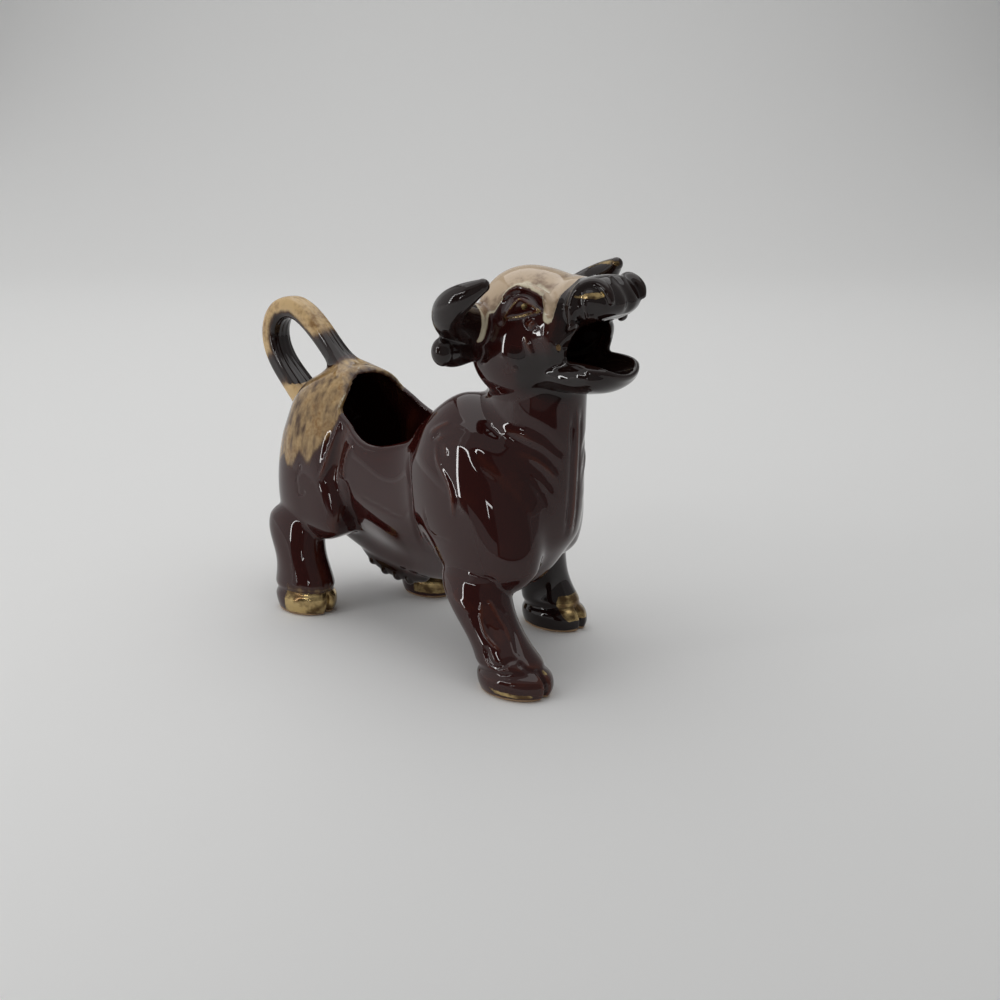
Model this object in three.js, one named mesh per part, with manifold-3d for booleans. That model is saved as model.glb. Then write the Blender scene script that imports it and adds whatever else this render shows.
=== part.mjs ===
// A cream jug in glazed earthenware, made as a striding bull with its head raised and mouth open.
// Millimetres. +X is the way the bull faces, +Y its left side, +Z up, and the floor is z = 0.
// The pieces are the clay parts that are cast or pressed by themselves and then luted together
// with slip, glazed and fired: a hollow body, a hollow head, four legs, a looped tail that is
// the handle, two horns, two ears and the ridge under the belly.
import * as THREE from "three";
import { mergeVertices } from "three/addons/utils/BufferGeometryUtils.js";
import Module from "manifold-3d";

const wasm = await Module();
wasm.setup();

// Clay
const wall = 3.2; // thickness of the cast shells
const seam = 0.3; // clearance left for the slip between two luted pieces
const neckJoint = 78; // height of the flat joint between neck and head
const neckTop = 92; // height to which the neck stands inside the head

// Forms that are stacks of oval slices. at is the place along the stack, high and low are the
// limits across it (in z for a stack that lies along X, in x for one that stands along Z), half
// is the half width along Y, off is how far the slice lies from the middle plane, and pinch
// narrows the side towards the low limit.
const barrel = [
  { at: -66.5, high: 60, low: 38, half: 11.5, pinch: 0 },
  { at: -59, high: 69, low: 31, half: 14.5, pinch: 0 },
  { at: -52, high: 73, low: 26, half: 17.5, pinch: 0.1 },
  { at: -42, high: 77, low: 20, half: 18, pinch: 0.3 },
  { at: -33, high: 76, low: 16, half: 17.5, pinch: 0.5 },
  { at: -20, high: 71, low: 14, half: 18, pinch: 0.55 },
  { at: -7, high: 66.5, low: 14, half: 19, pinch: 0.5 },
  { at: 6, high: 72.5, low: 16, half: 20, pinch: 0.4 },
  { at: 20, high: 75.5, low: 18, half: 20, pinch: 0.3 },
  { at: 34, high: 70, low: 22, half: 16, pinch: 0.2 },
  { at: 46.5, high: 62, low: 31, half: 10.5, pinch: 0 },
];
const neck = [
  { at: 30, high: 45, low: 14, half: 14 },
  { at: 42, high: 47.6, low: 13, half: 14.5 },
  { at: 56, high: 49.3, low: 13, half: 15.8 },
  { at: 68, high: 49.9, low: 16, half: 14.6 },
  { at: 77, high: 50, low: 20.5, half: 13 },
  { at: 84, high: 50, low: 22.5, half: 12 },
  { at: 98, high: 46, low: 26, half: 11 },
];
const shoulder = [
  { at: 22, high: 32, low: 6, half: 8.5, off: 15.5 },
  { at: 31, high: 37, low: 2.5, half: 10, off: 14.8 },
  { at: 44, high: 39.5, low: -2, half: 11.3, off: 13.4 },
  { at: 58, high: 37.5, low: 0, half: 11, off: 12 },
  { at: 70, high: 33, low: 4, half: 9.5, off: 9.5 },
  { at: 77, high: 28, low: 8, half: 8.5, off: 8 },
];
// The right foreleg is in mid stride: below this height its shoulder leans forward, by this much
// for each millimetre down.
const stride = { top: 70, right: 0.25, left: 0 };
const haunch = [
  { at: 23, high: -28, low: -57, half: 7.5, off: 13.5 },
  { at: 31, high: -26, low: -60.3, half: 9, off: 12.5 },
  { at: 43, high: -33, low: -62.3, half: 10.2, off: 10.8 },
  { at: 55, high: -35, low: -61, half: 10.3, off: 9 },
  { at: 68, high: -37, low: -56, half: 9, off: 7 },
];
const skull = [
  { at: 17, high: 106, low: 88, half: 11 },
  { at: 26, high: 113, low: 83, half: 14.5 },
  { at: 36, high: 114.5, low: 81.5, half: 15.5 },
  { at: 46, high: 113, low: 83, half: 14.2 },
  { at: 56, high: 111.5, low: 88, half: 13.4 },
];
const muzzle = [
  { at: 42, high: 112.5, low: 96, half: 11 },
  { at: 52, high: 113, low: 99, half: 11.3 },
  { at: 60, high: 114.8, low: 101.8, half: 12.8 },
  { at: 67.5, high: 111.5, low: 103.5, half: 10 },
];
const jaw = [
  { at: 34, high: 92, low: 81, half: 11 },
  { at: 46, high: 91, low: 81.5, half: 11.5 },
  { at: 57, high: 89.5, low: 81.5, half: 11.6 },
  { at: 67, high: 89, low: 84, half: 9 },
];
const mouth = [
  { at: 30, high: 103, low: 88, half: 9 },
  { at: 46, high: 102.5, low: 86, half: 10.4 },
  { at: 56, high: 102.5, low: 85.5, half: 13 },
  { at: 64, high: 103.5, low: 86.5, half: 12.8 },
  { at: 78, high: 106, low: 86.5, half: 12.8 },
];

// Length of the rounding at the two ends of each of these forms, and of a leg and the ridge
const rounds = {
  barrel: [15, 12], neck: [10, 8], shoulder: [10, 12], haunch: [9, 14], skull: [9, 7],
  muzzle: [8, 7], jaw: [6, 6], mouth: [8, 0], leg: [0, 6], ridge: [4, 4],
};
const squareness = 0.8; // 1 gives the barrel an elliptical back, and less a squarer one

// Legs, as stacks along Z from the flat sole up into the shoulder or haunch
const legs = {
  front_right: [
    { at: 0, high: 58.5, low: 37, half: 8, off: -23.4 },
    { at: 2, high: 59.5, low: 36.2, half: 8.7, off: -23.4 },
    { at: 6, high: 58.8, low: 35.5, half: 8.6, off: -23.3 },
    { at: 11, high: 53.2, low: 33, half: 7.5, off: -23 },
    { at: 17, high: 46.5, low: 27, half: 7.4, off: -22 },
    { at: 25, high: 41.5, low: 19.5, half: 8, off: -20 },
    { at: 34, high: 40, low: 17, half: 7.5, off: -17 },
  ],
  front_left: [
    { at: 0, high: 33.5, low: 13, half: 7.6, off: 23.4 },
    { at: 2, high: 34.3, low: 12.2, half: 8.2, off: 23.4 },
    { at: 6, high: 33.4, low: 12, half: 8.1, off: 23.3 },
    { at: 11, high: 30.2, low: 11.5, half: 7.1, off: 23 },
    { at: 17, high: 28, low: 11, half: 6.8, off: 22 },
    { at: 25, high: 28.4, low: 10.5, half: 7.2, off: 20 },
    { at: 34, high: 30, low: 10, half: 7.2, off: 17 },
  ],
  hind_right: [
    { at: 0, high: -35.5, low: -54.5, half: 7.6, off: -18.7 },
    { at: 2, high: -34.4, low: -55.4, half: 8.2, off: -18.7 },
    { at: 6, high: -34, low: -56.6, half: 8.2, off: -18.6 },
    { at: 11, high: -35, low: -56.6, half: 7.4, off: -18.4 },
    { at: 17, high: -38, low: -57.2, half: 7, off: -18 },
    { at: 25, high: -39.5, low: -61.3, half: 7, off: -17 },
    { at: 34, high: -40, low: -60, half: 6.5, off: -15 },
  ],
  hind_left: [
    { at: 0, high: -17.5, low: -35.5, half: 7.2, off: 18.7 },
    { at: 2, high: -16.4, low: -36.4, half: 7.8, off: 18.7 },
    { at: 6, high: -16, low: -37.4, half: 7.8, off: 18.6 },
    { at: 11, high: -18, low: -39.5, half: 7.4, off: 18.4 },
    { at: 17, high: -22, low: -43.5, half: 7, off: 18 },
    { at: 25, high: -28, low: -50, half: 7, off: 17 },
    { at: 34, high: -31, low: -53, half: 6.5, off: 15 },
  ],
};

// Filling opening in the back: the outline of what is cut away, in x and z
const opening = [
  [-42, 98], [-40, 80], [-38, 75.5], [-36.5, 71.5], [-33, 68], [-29, 65.4], [-25.5, 62.9], [-21.5, 60.6],
  [-17, 59.3], [-12, 59.2], [-7, 60.3], [-2.5, 62], [-1, 64.5], [-4, 66.8], [-8, 69], [-10, 98],
];
const openingTilt = 0.15; // how far its edge falls towards the right side, for each millimetre

// Tail: points on its middle line with its half width and half thickness
const tail = [
  [-38, 0, 68, 6, 3.2],
  [-42.5, 0, 74.8, 4.8, 2.9],
  [-47.3, 0, 79.4, 3.9, 2.6],
  [-53, 0, 84.3, 3.9, 2.7],
  [-59.4, 0, 88.7, 4.2, 3],
  [-66.2, 0, 91.3, 4.4, 3.2],
  [-73.4, 0, 89.8, 4.5, 3.1],
  [-77.2, 0, 84.6, 5, 3],
  [-76.8, 0, 77.8, 5.3, 3],
  [-72.2, 0, 71.4, 5.6, 3.2],
  [-66, 0, 66, 6, 3.4],
  [-59, 0, 60, 6.2, 3.4],
];

// Cheeks and the lidded eyes, as mounds on the left side of the head. Each centre is sunk by
// in below the skull's side, and lies up from the skull's bottom.
const cheek = { x: 33, in: 6, up: 6.5, size: [10.5, 7.5, 9.5] };
const eye = { x: 42.5, in: 3.4, up: 22.5, size: [6, 3.6, 4.5] };

// Horns and ears, on the left side: points with the two half sizes of the section
const horn = [
  [27, 9, 99, 6, 6],
  [26.5, 16, 99.3, 6, 6],
  [26.7, 23.5, 101, 5.8, 5.6],
  [28.8, 28.8, 104.5, 5.2, 5],
  [33.4, 30.8, 108, 4.3, 4],
  [38.2, 30, 110.8, 3, 2.9],
  [41.8, 28.2, 112.9, 1.8, 1.8],
];
const ear = [
  [26, 10, 93.5, 4.6, 4],
  [25.3, 18, 93.4, 5.2, 4.2],
  [25.6, 25, 93.2, 5.4, 4.2],
  [26, 29, 93, 4.2, 3.2],
];

// Ridge under the belly, with a row of beads along its edge
const ridge = [
  { at: -41, high: 24, low: 20, half: 1.6 },
  { at: -34, high: 22, low: 13.6, half: 2 },
  { at: -26, high: 20, low: 10.8, half: 2 },
  { at: -16, high: 20, low: 10.4, half: 2 },
  { at: -7, high: 20, low: 12.5, half: 1.8 },
];
const beads = [-33, -27.5, -22, -16.5];
const beadRadius = 1.7;

// Toes
const cleft = { width: 1.6, depth: 4.5, height: 7 };

// Half size of a cutting block, larger than the jug
const reach = 3 * Math.abs(barrel[0].at);

// Catmull-Rom value of every field of the stations at one place along them.
function stationAt(stations, at) {
  const last = stations.length - 2;
  let i = 0;
  while (i < last && stations[i + 1].at < at) i++;
  const [a, b] = [stations[i], stations[i + 1]];
  const before = stations[Math.max(i - 1, 0)];
  const after = stations[Math.min(i + 2, stations.length - 1)];
  const span = b.at - a.at;
  const t = THREE.MathUtils.clamp((at - a.at) / span, 0, 1);
  const value = { off: 0, pinch: 0 };
  for (const key of Object.keys(a)) {
    const slopeA = ((b[key] - before[key]) / (b.at - before.at)) * span;
    const slopeB = ((after[key] - a[key]) / (after.at - a.at)) * span;
    const [t2, t3] = [t * t, t * t * t];
    value[key] =
      (2 * t3 - 3 * t2 + 1) * a[key] +
      (t3 - 2 * t2 + t) * slopeA +
      (3 * t2 - 2 * t3) * b[key] +
      (t3 - t2) * slopeB;
  }
  return value;
}

// A closed skin over rings of points, with a pole point at each end.
function skin(rings, startPole, endPole) {
  const sides = rings[0].length;
  const points = [startPole, ...rings.flat(), endPole];
  const index = [];
  for (let s = 0; s < sides; s++) {
    const next = (s + 1) % sides;
    index.push(0, 1 + next, 1 + s);
    for (let r = 0; r < rings.length - 1; r++) {
      const a = 1 + r * sides + s;
      const b = 1 + r * sides + next;
      index.push(a, b, a + sides, b, b + sides, a + sides);
    }
    const lastRing = 1 + (rings.length - 1) * sides;
    index.push(lastRing + s, lastRing + next, points.length - 1);
  }
  return new THREE.BufferGeometry().setFromPoints(points).setIndex(index);
}

// A closed geometry as a solid that can be joined and cut. Its faces are turned out if need be.
function solid(geometry) {
  const bare = geometry.clone();
  bare.deleteAttribute("normal");
  bare.deleteAttribute("uv");
  const merged = mergeVertices(bare, 1e-4);
  const triVerts = new Uint32Array(merged.index.array);
  const vertProperties = new Float32Array(merged.attributes.position.array);
  const make = () => new wasm.Manifold(new wasm.Mesh({ numProp: 3, vertProperties, triVerts }));
  let made = make();
  if (made.volume() < 0) {
    for (let i = 0; i < triVerts.length; i += 3) {
      [triVerts[i], triVerts[i + 1]] = [triVerts[i + 1], triVerts[i]];
    }
    made = make();
  }
  return made;
}

// A stack of oval slices. round is how long the rounding is at each end, and 0 leaves it flat.
// side mirrors it, grow moves its whole surface out (or in, below zero), and square, below 1,
// makes the top half of each slice squarer than an ellipse.
function stack(stations, options) {
  const { axis = "x", round, sides, slices, side = 1, grow = 0, square = 1 } = options;
  const start = stations[0].at - (round[0] ? grow : 0);
  const end = stations.at(-1).at + (round[1] ? grow : 0);
  const place = (at, across, y) =>
    axis === "x" ? new THREE.Vector3(at, y, across) : new THREE.Vector3(across, y, at);
  const rings = [];
  const count = Math.round(slices);
  const around = 2 * Math.round(sides / 2);
  for (let i = 0; i <= count; i++) {
    const at = THREE.MathUtils.lerp(start, end, (1 - Math.cos((Math.PI * i) / count)) / 2);
    const fromStart = round[0] ? Math.max(0, 1 - (at - start) / round[0]) : 0;
    const fromEnd = round[1] ? Math.max(0, 1 - (end - at) / round[1]) : 0;
    const scale = Math.sqrt(Math.max(0, 1 - fromStart ** 2 - fromEnd ** 2));
    if (scale < 0.02) continue;
    const { high, low, half, off, pinch } = stationAt(stations, at);
    const ring = [];
    for (let s = 0; s < around; s++) {
      const turn = (2 * Math.PI * s) / around;
      const narrow = 1 - pinch * Math.max(0, -Math.sin(turn)) ** 1.5;
      const power = Math.sin(turn) > 0 ? square : 1;
      const up = Math.sign(Math.sin(turn)) * Math.abs(Math.sin(turn)) ** power;
      const out = Math.sign(Math.cos(turn)) * Math.abs(Math.cos(turn)) ** power;
      const across = (high + low) / 2 + ((high - low) / 2 + grow) * scale * up;
      ring.push(place(at, across, side * off + (half + grow) * scale * narrow * out));
    }
    rings.push(ring);
  }
  const pole = (at) => {
    const { high, low, off } = stationAt(stations, at);
    return place(at, (high + low) / 2, side * off);
  };
  return solid(skin(rings, pole(start), pole(end)));
}

// A rod with an oval section along a smooth line, with domed ends. Each point is x, y, z, the
// half size along across and the half size square to it.
function rod(points, options) {
  const { across, sides = 14, steps = 24, side = 1, grow = 0 } = options;
  const path = new THREE.CatmullRomCurve3(points.map(([x, y, z]) => new THREE.Vector3(x, side * y, z)));
  const size = new THREE.CatmullRomCurve3(points.map(([, , , w, d]) => new THREE.Vector3(w, d, 0)));
  const domeSteps = 3;
  const ringAt = (t, scale, push) => {
    const tangent = path.getTangent(t);
    const wide = across.clone().addScaledVector(tangent, -across.dot(tangent)).normalize();
    const deep = new THREE.Vector3().crossVectors(tangent, wide);
    const centre = path.getPoint(t).addScaledVector(tangent, push);
    const { x: w, y: d } = size.getPoint(t);
    return Array.from({ length: sides }, (_, s) => {
      const turn = (2 * Math.PI * s) / sides;
      return centre
        .clone()
        .addScaledVector(wide, (w + grow) * scale * Math.cos(turn))
        .addScaledVector(deep, (d + grow) * scale * Math.sin(turn));
    });
  };
  const dome = (t, i) => {
    const { x: w, y: d } = size.getPoint(t);
    const angle = (Math.PI / 2) * (i / domeSteps);
    return [Math.cos(angle), (Math.min(w, d) + grow) * Math.sin(angle)];
  };
  const rings = [];
  for (let i = domeSteps - 1; i > 0; i--) {
    const [scale, push] = dome(0, i);
    rings.push(ringAt(0, scale, -push));
  }
  for (let i = 0; i <= steps; i++) rings.push(ringAt(i / steps, 1, 0));
  for (let i = 1; i < domeSteps; i++) rings.push(ringAt(1, ...dome(1, i)));
  const pole = (t, sign) =>
    path.getPoint(t).addScaledVector(path.getTangent(t), sign * dome(t, domeSteps)[1]);
  return solid(skin(rings, pole(0, -1), pole(1, 1)));
}

// An ellipsoid.
function ball(x, y, z, rx, ry, rz, grow = 0, detail = [20, 12]) {
  const geometry = new THREE.SphereGeometry(1, ...detail);
  geometry.rotateX(Math.PI / 2);
  geometry.scale(rx + grow, ry + grow, rz + grow);
  geometry.translate(x, y, z);
  return solid(geometry);
}

// A block with given limits.
function block(x0, x1, y0, y1, z0, z1) {
  const geometry = new THREE.BoxGeometry(x1 - x0, y1 - y0, z1 - z0);
  geometry.translate((x0 + x1) / 2, (y0 + y1) / 2, (z0 + z1) / 2);
  return solid(geometry);
}
const above = (z) => block(-reach, reach, -reach, reach, z, reach);
const below = (z) => block(-reach, reach, -reach, reach, -reach, z);

// A profile in x and z, carried across the whole width and rising by tilt for each millimetre
// to the left.
function profileAcross(points, halfWidth, tilt) {
  const shape = new THREE.Shape();
  shape.moveTo(...points[0]);
  shape.splineThru(points.slice(1).map(([x, z]) => new THREE.Vector2(x, z)));
  shape.closePath();
  const geometry = new THREE.ExtrudeGeometry(shape, {
    depth: 2 * halfWidth, bevelEnabled: false, curveSegments: 30,
  });
  geometry.rotateX(Math.PI / 2);
  geometry.translate(0, halfWidth, 0);
  geometry.applyMatrix4(new THREE.Matrix4().set(1, 0, 0, 0, 0, 1, 0, 0, 0, tilt, 1, 0, 0, 0, 0, 1));
  return solid(geometry);
}

const group = new THREE.Group();
function add(name, made, color, roughness = 0.15) {
  const { vertProperties, triVerts } = made.getMesh();
  const geometry = new THREE.BufferGeometry();
  geometry.setAttribute("position", new THREE.BufferAttribute(new Float32Array(vertProperties), 3));
  geometry.setIndex(new THREE.BufferAttribute(new Uint32Array(triVerts), 1));
  const material = new THREE.MeshStandardMaterial({ color, roughness, metalness: 0 });
  const mesh = new THREE.Mesh(geometry, material);
  mesh.name = name;
  group.add(mesh);
}

// Glazes
const treacle = 0x3a1712;
const treacleDark = 0x24100e;
const honey = 0xa07c50;

// Body
const bothSides = (make) => make(1).add(make(-1));
const leaning = (stations, lean) =>
  stations.map((s) => {
    const push = lean * (stride.top - s.at);
    return { ...s, high: s.high + push, low: s.low + push };
  });
const neckForm = (grow, sides = 26, slices = 13) =>
  stack(neck, { axis: "z", round: rounds.neck, sides, slices, grow });
const shoulderForm = (side, grow, sides, slices) => {
  const stations = leaning(shoulder, side > 0 ? stride.left : stride.right);
  return stack(stations, { axis: "z", round: rounds.shoulder, sides, slices, side, grow });
};
const haunchForm = (side, grow, sides, slices) =>
  stack(haunch, { axis: "z", round: rounds.haunch, sides, slices, side, grow });
const barrelForm = (grow, sides, slices) =>
  stack(barrel, { round: rounds.barrel, sides, slices, grow, square: squareness });
const bodyForm = (grow, sides = 18, slices = 12) =>
  barrelForm(grow, 1.5 * sides, 1.7 * slices)
    .add(neckForm(grow, 1.3 * sides, slices))
    .add(bothSides((side) => shoulderForm(side, grow, sides, slices)))
    .add(bothSides((side) => haunchForm(side, grow, sides, slices)));
const bodyShell = bodyForm(0)
  .subtract(bodyForm(-wall, 14, 8))
  .subtract(profileAcross(opening, reach, openingTilt))
  .subtract(above(neckJoint));
add("body_shell", bodyShell, treacle);

// Head
const mound = ({ x, in: sunk, up, size }, side, grow, detail) => {
  const { low, half } = stationAt(skull, x);
  return ball(x, side * (half - sunk), low + up, ...size, grow, detail);
};
const skullForm = (grow, sides, slices) => stack(skull, { round: rounds.skull, sides, slices, grow });
const headForm = (grow) =>
  skullForm(grow, 26, 14)
    .add(stack(muzzle, { round: rounds.muzzle, sides: 22, slices: 11, grow }))
    .add(bothSides((side) => mound(cheek, side, grow)))
    .add(bothSides((side) => mound(eye, side, grow, [14, 8])));
const headShell = headForm(0)
  .add(stack(jaw, { round: rounds.jaw, sides: 22, slices: 11 }))
  .add(neckForm(0).subtract(below(neckJoint + seam)).subtract(above(neckTop)))
  .subtract(skullForm(-wall, 18, 9))
  .subtract(neckForm(-wall, 18, 8))
  .subtract(stack(mouth, { round: rounds.mouth, sides: 20, slices: 9 }));
add("head_shell", headShell, treacleDark);

// Legs
const bodyRoom = bodyForm(seam);
for (const [name, stations] of Object.entries(legs)) {
  const { high: toe, off: middle } = stations[1];
  const notch = block(
    toe - cleft.depth, toe + cleft.depth,
    middle - cleft.width / 2, middle + cleft.width / 2,
    -cleft.height, cleft.height,
  );
  const leg = stack(stations, { axis: "z", round: rounds.leg, sides: 20, slices: 12 });
  add(`${name}_leg`, leg.subtract(bodyRoom).subtract(notch), treacle);
}

// Handle
add("tail_handle", rod(tail, { across: new THREE.Vector3(0, 1, 0), steps: 32 }).subtract(bodyRoom), honey);

// Horns and ears
const headRoom = headForm(seam);
for (const [name, side] of [["left", 1], ["right", -1]]) {
  const up = new THREE.Vector3(0, 0, 1);
  const hornForm = (grow) => rod(horn, { across: up, side, sides: 14, steps: 16, grow });
  const earForm = rod(ear, { across: up, side, sides: 14, steps: 8 });
  add(`${name}_horn`, hornForm(0).subtract(headRoom), treacleDark);
  add(`${name}_ear`, earForm.subtract(headRoom).subtract(hornForm(seam)), treacleDark);
}

// Belly ridge
const bead = (x, z) => ball(x, 0, z, beadRadius, beadRadius, beadRadius, 0, [8, 6]);
const ridgeForm = beads.reduce(
  (sum, x) => sum.add(bead(x, stationAt(ridge, x).low + beadRadius / 2)),
  stack(ridge, { round: rounds.ridge, sides: 8, slices: 12 }),
);
add("belly_ridge", ridgeForm.subtract(bodyRoom), treacleDark);

// The origin is under the middle of the jug.
const box = new THREE.Box3().setFromObject(group);
group.position.set(-(box.min.x + box.max.x) / 2, -(box.min.y + box.max.y) / 2, 0);

export default group;
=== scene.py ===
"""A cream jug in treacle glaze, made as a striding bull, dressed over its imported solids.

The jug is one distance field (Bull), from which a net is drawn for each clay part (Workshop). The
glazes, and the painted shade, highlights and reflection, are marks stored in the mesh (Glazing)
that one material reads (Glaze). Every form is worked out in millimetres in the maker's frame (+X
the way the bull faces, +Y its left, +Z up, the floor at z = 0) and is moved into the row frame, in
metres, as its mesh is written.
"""
import logging
import math
from dataclasses import dataclass, field
from enum import Enum
from typing import Callable, Iterable, Sequence

import bmesh
import bpy
import numpy as np
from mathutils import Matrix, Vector


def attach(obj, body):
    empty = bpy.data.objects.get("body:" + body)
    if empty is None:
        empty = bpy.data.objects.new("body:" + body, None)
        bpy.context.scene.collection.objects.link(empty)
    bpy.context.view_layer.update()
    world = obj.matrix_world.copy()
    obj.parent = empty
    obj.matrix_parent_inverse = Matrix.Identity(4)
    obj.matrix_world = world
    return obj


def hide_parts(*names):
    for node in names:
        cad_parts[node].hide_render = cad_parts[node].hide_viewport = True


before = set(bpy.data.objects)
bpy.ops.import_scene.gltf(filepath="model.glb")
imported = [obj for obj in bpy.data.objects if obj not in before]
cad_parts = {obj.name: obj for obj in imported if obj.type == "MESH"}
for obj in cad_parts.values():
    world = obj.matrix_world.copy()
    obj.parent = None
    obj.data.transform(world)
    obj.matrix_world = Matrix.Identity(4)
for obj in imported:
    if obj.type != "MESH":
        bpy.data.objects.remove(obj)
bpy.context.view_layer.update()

log = logging.getLogger("bull_creamer")

Array = np.ndarray
Point = tuple[float, float, float]

FORWARD_SHIFT = 6.437  # mm from the maker's origin to the row frame's, along X
FAR = 40.0  # mm, the distance given to points that are nowhere near a form
ROD_CHUNK = 20000  # points worked on at a time, by a rod and by the whole field
FIELD_CHUNK = 120000
ROUND_OFF = 1e-4  # keeps a distance finite where its slope goes to zero
ON_PLANE = 1e-3  # mm, how near a joint's plane its edges lie
CAP = 1  # material index that marks the flat faces of a joint until the normals are set


def to_row(points: Array) -> Array:
    """Maker's millimetres as metres in the row frame."""
    return (points + np.array([FORWARD_SHIFT, 0.0, 0.0])) / 1000.0


def blend(a: Array, b: Array, width: float) -> Array:
    """Union of two distances with a soft fillet.

    The lesser of both, less h^3 width / 6, where h falls from 1 to 0 as they part by width.

    Args:
        a: Distances to the first form.
        b: Distances to the second form.
        width: How far apart the two distances still soften each other.

    Returns:
        Distances to the union.
    """
    h = np.maximum(width - np.abs(a - b), 0.0) / width
    return np.minimum(a, b) - h * h * h * width / 6.0


def cut(a: Array, b: Array, width: float) -> Array:
    """Distances to a less b, with an edge rounded over width."""
    return -blend(-a, b, width)


def from_root(root: Array, slope: Array, least: Array) -> Array:
    """Distance to a surface where root is 1, given its slope and the form's least half size."""
    return (root - 1.0) * (root + ROUND_OFF) / (slope + ROUND_OFF / least)


def in_chunks(work: Callable[[Array], Array], points: Array, size: int) -> Array:
    """Results of work for many points, taken size points at a time."""
    return np.concatenate([work(points[i:i + size]) for i in range(0, len(points), size)])


def ramp(x: Array, low: float, high: float) -> Array:
    """0 below low, 1 above high, and 3t^2 - 2t^3 between them."""
    t = np.clip((x - low) / (high - low), 0.0, 1.0)
    return t * t * (3.0 - 2.0 * t)


def only_near(
    points: Array, low: Array, high: Array, margin: float, away: float, work: Callable[[Array], Array],
) -> Array:
    """Works out values for the points in or near a box, and gives the others one value.

    Args:
        points: N by 3 places.
        low: Lowest corner of the box.
        high: Highest corner of the box.
        margin: How far outside the box a point still counts as near.
        away: The value of every other point.
        work: Gives one value for each of the near points.

    Returns:
        N values.
    """
    near = np.all((points > low - margin) & (points < high + margin), axis=1)
    values = np.full(len(points), away)
    if near.any():
        values[near] = work(points[near])
    return values


def both_sides(points: Array) -> Array:
    """The points with those on the right folded over to the left, for forms made alike on both."""
    folded = points.copy()
    folded[:, 1] = np.abs(folded[:, 1])
    return folded


def outline_distance(across: Array, up: Array, sides: Array) -> Array:
    """Signed distance to a closed outline: the nearest side, and inside it by ray count.

    Args:
        across: N first coordinates.
        up: N second coordinates.
        sides: Corners of the outline.

    Returns:
        N distances, below zero inside.
    """
    best, crossings = np.full(len(across), np.inf), np.zeros(len(across), int)
    for (x0, z0), (x1, z1) in zip(sides, np.roll(sides, -1, axis=0)):
        dx, dz = x1 - x0, z1 - z0
        t = np.clip(((across - x0) * dx + (up - z0) * dz) / (dx * dx + dz * dz), 0.0, 1.0)
        best = np.minimum(best, np.hypot(across - x0 - t * dx, up - z0 - t * dz))
        if z1 != z0:
            crossings += ((z0 > up) != (z1 > up)) & (across < x0 + dx * (up - z0) / dz)
    return np.where(crossings % 2, -best, best)


class Curve:
    """Natural cubic spline through rows of values at rising knots."""

    def __init__(self, knots: Iterable[float], values: Iterable[Sequence[float]]) -> None:
        """Solves for the second derivatives, which are zero at both ends.

        Args:
            knots: Where the rows lie.
            values: One row of numbers for each knot.
        """
        self.knots = np.asarray(list(knots), float)
        self.values = np.asarray(list(values), float)
        count = len(self.knots)
        gap = np.diff(self.knots)
        matrix = np.eye(count)
        right = np.zeros_like(self.values)
        inner = np.arange(1, count - 1)
        matrix[inner, inner - 1] = gap[:-1]
        matrix[inner, inner] = 2.0 * (gap[:-1] + gap[1:])
        matrix[inner, inner + 1] = gap[1:]
        slope = np.diff(self.values, axis=0) / gap[:, None]
        right[1:-1] = 6.0 * np.diff(slope, axis=0)
        self.bends = np.linalg.solve(matrix, right)

    def __call__(self, at: Array) -> Array:
        """Rows at the given places, held at the ends.

        Args:
            at: N places.

        Returns:
            N rows.
        """
        at = np.clip(at, self.knots[0], self.knots[-1])
        i = np.clip(np.searchsorted(self.knots, at) - 1, 0, len(self.knots) - 2)
        gap = self.knots[i + 1] - self.knots[i]
        a = (self.knots[i + 1] - at) / gap
        b = 1.0 - a
        wide = (gap * gap / 6.0)[:, None]
        a, b = a[:, None], b[:, None]
        return (
            a * self.values[i] + b * self.values[i + 1]
            + ((a**3 - a) * self.bends[i] + (b**3 - b) * self.bends[i + 1]) * wide
        )

    @classmethod
    def through(cls, rows: Sequence[Sequence[float]]) -> "Curve":
        """A curve through points, with the chord length so far as its knots."""
        table = np.asarray(rows, float)
        steps = np.linalg.norm(np.diff(table[:, :3], axis=0), axis=1)
        return cls(np.concatenate([[0.0], np.cumsum(steps)]), table)

    def sampled(self, count: int) -> Array:
        """Rows at evenly spaced places."""
        return self(np.linspace(self.knots[0], self.knots[-1], count))


class Along(Enum):
    """The way a stack of slices runs: its own axis, and the axis of its high and low limits."""

    LENGTH = (0, 2)
    HEIGHT = (2, 0)


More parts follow.
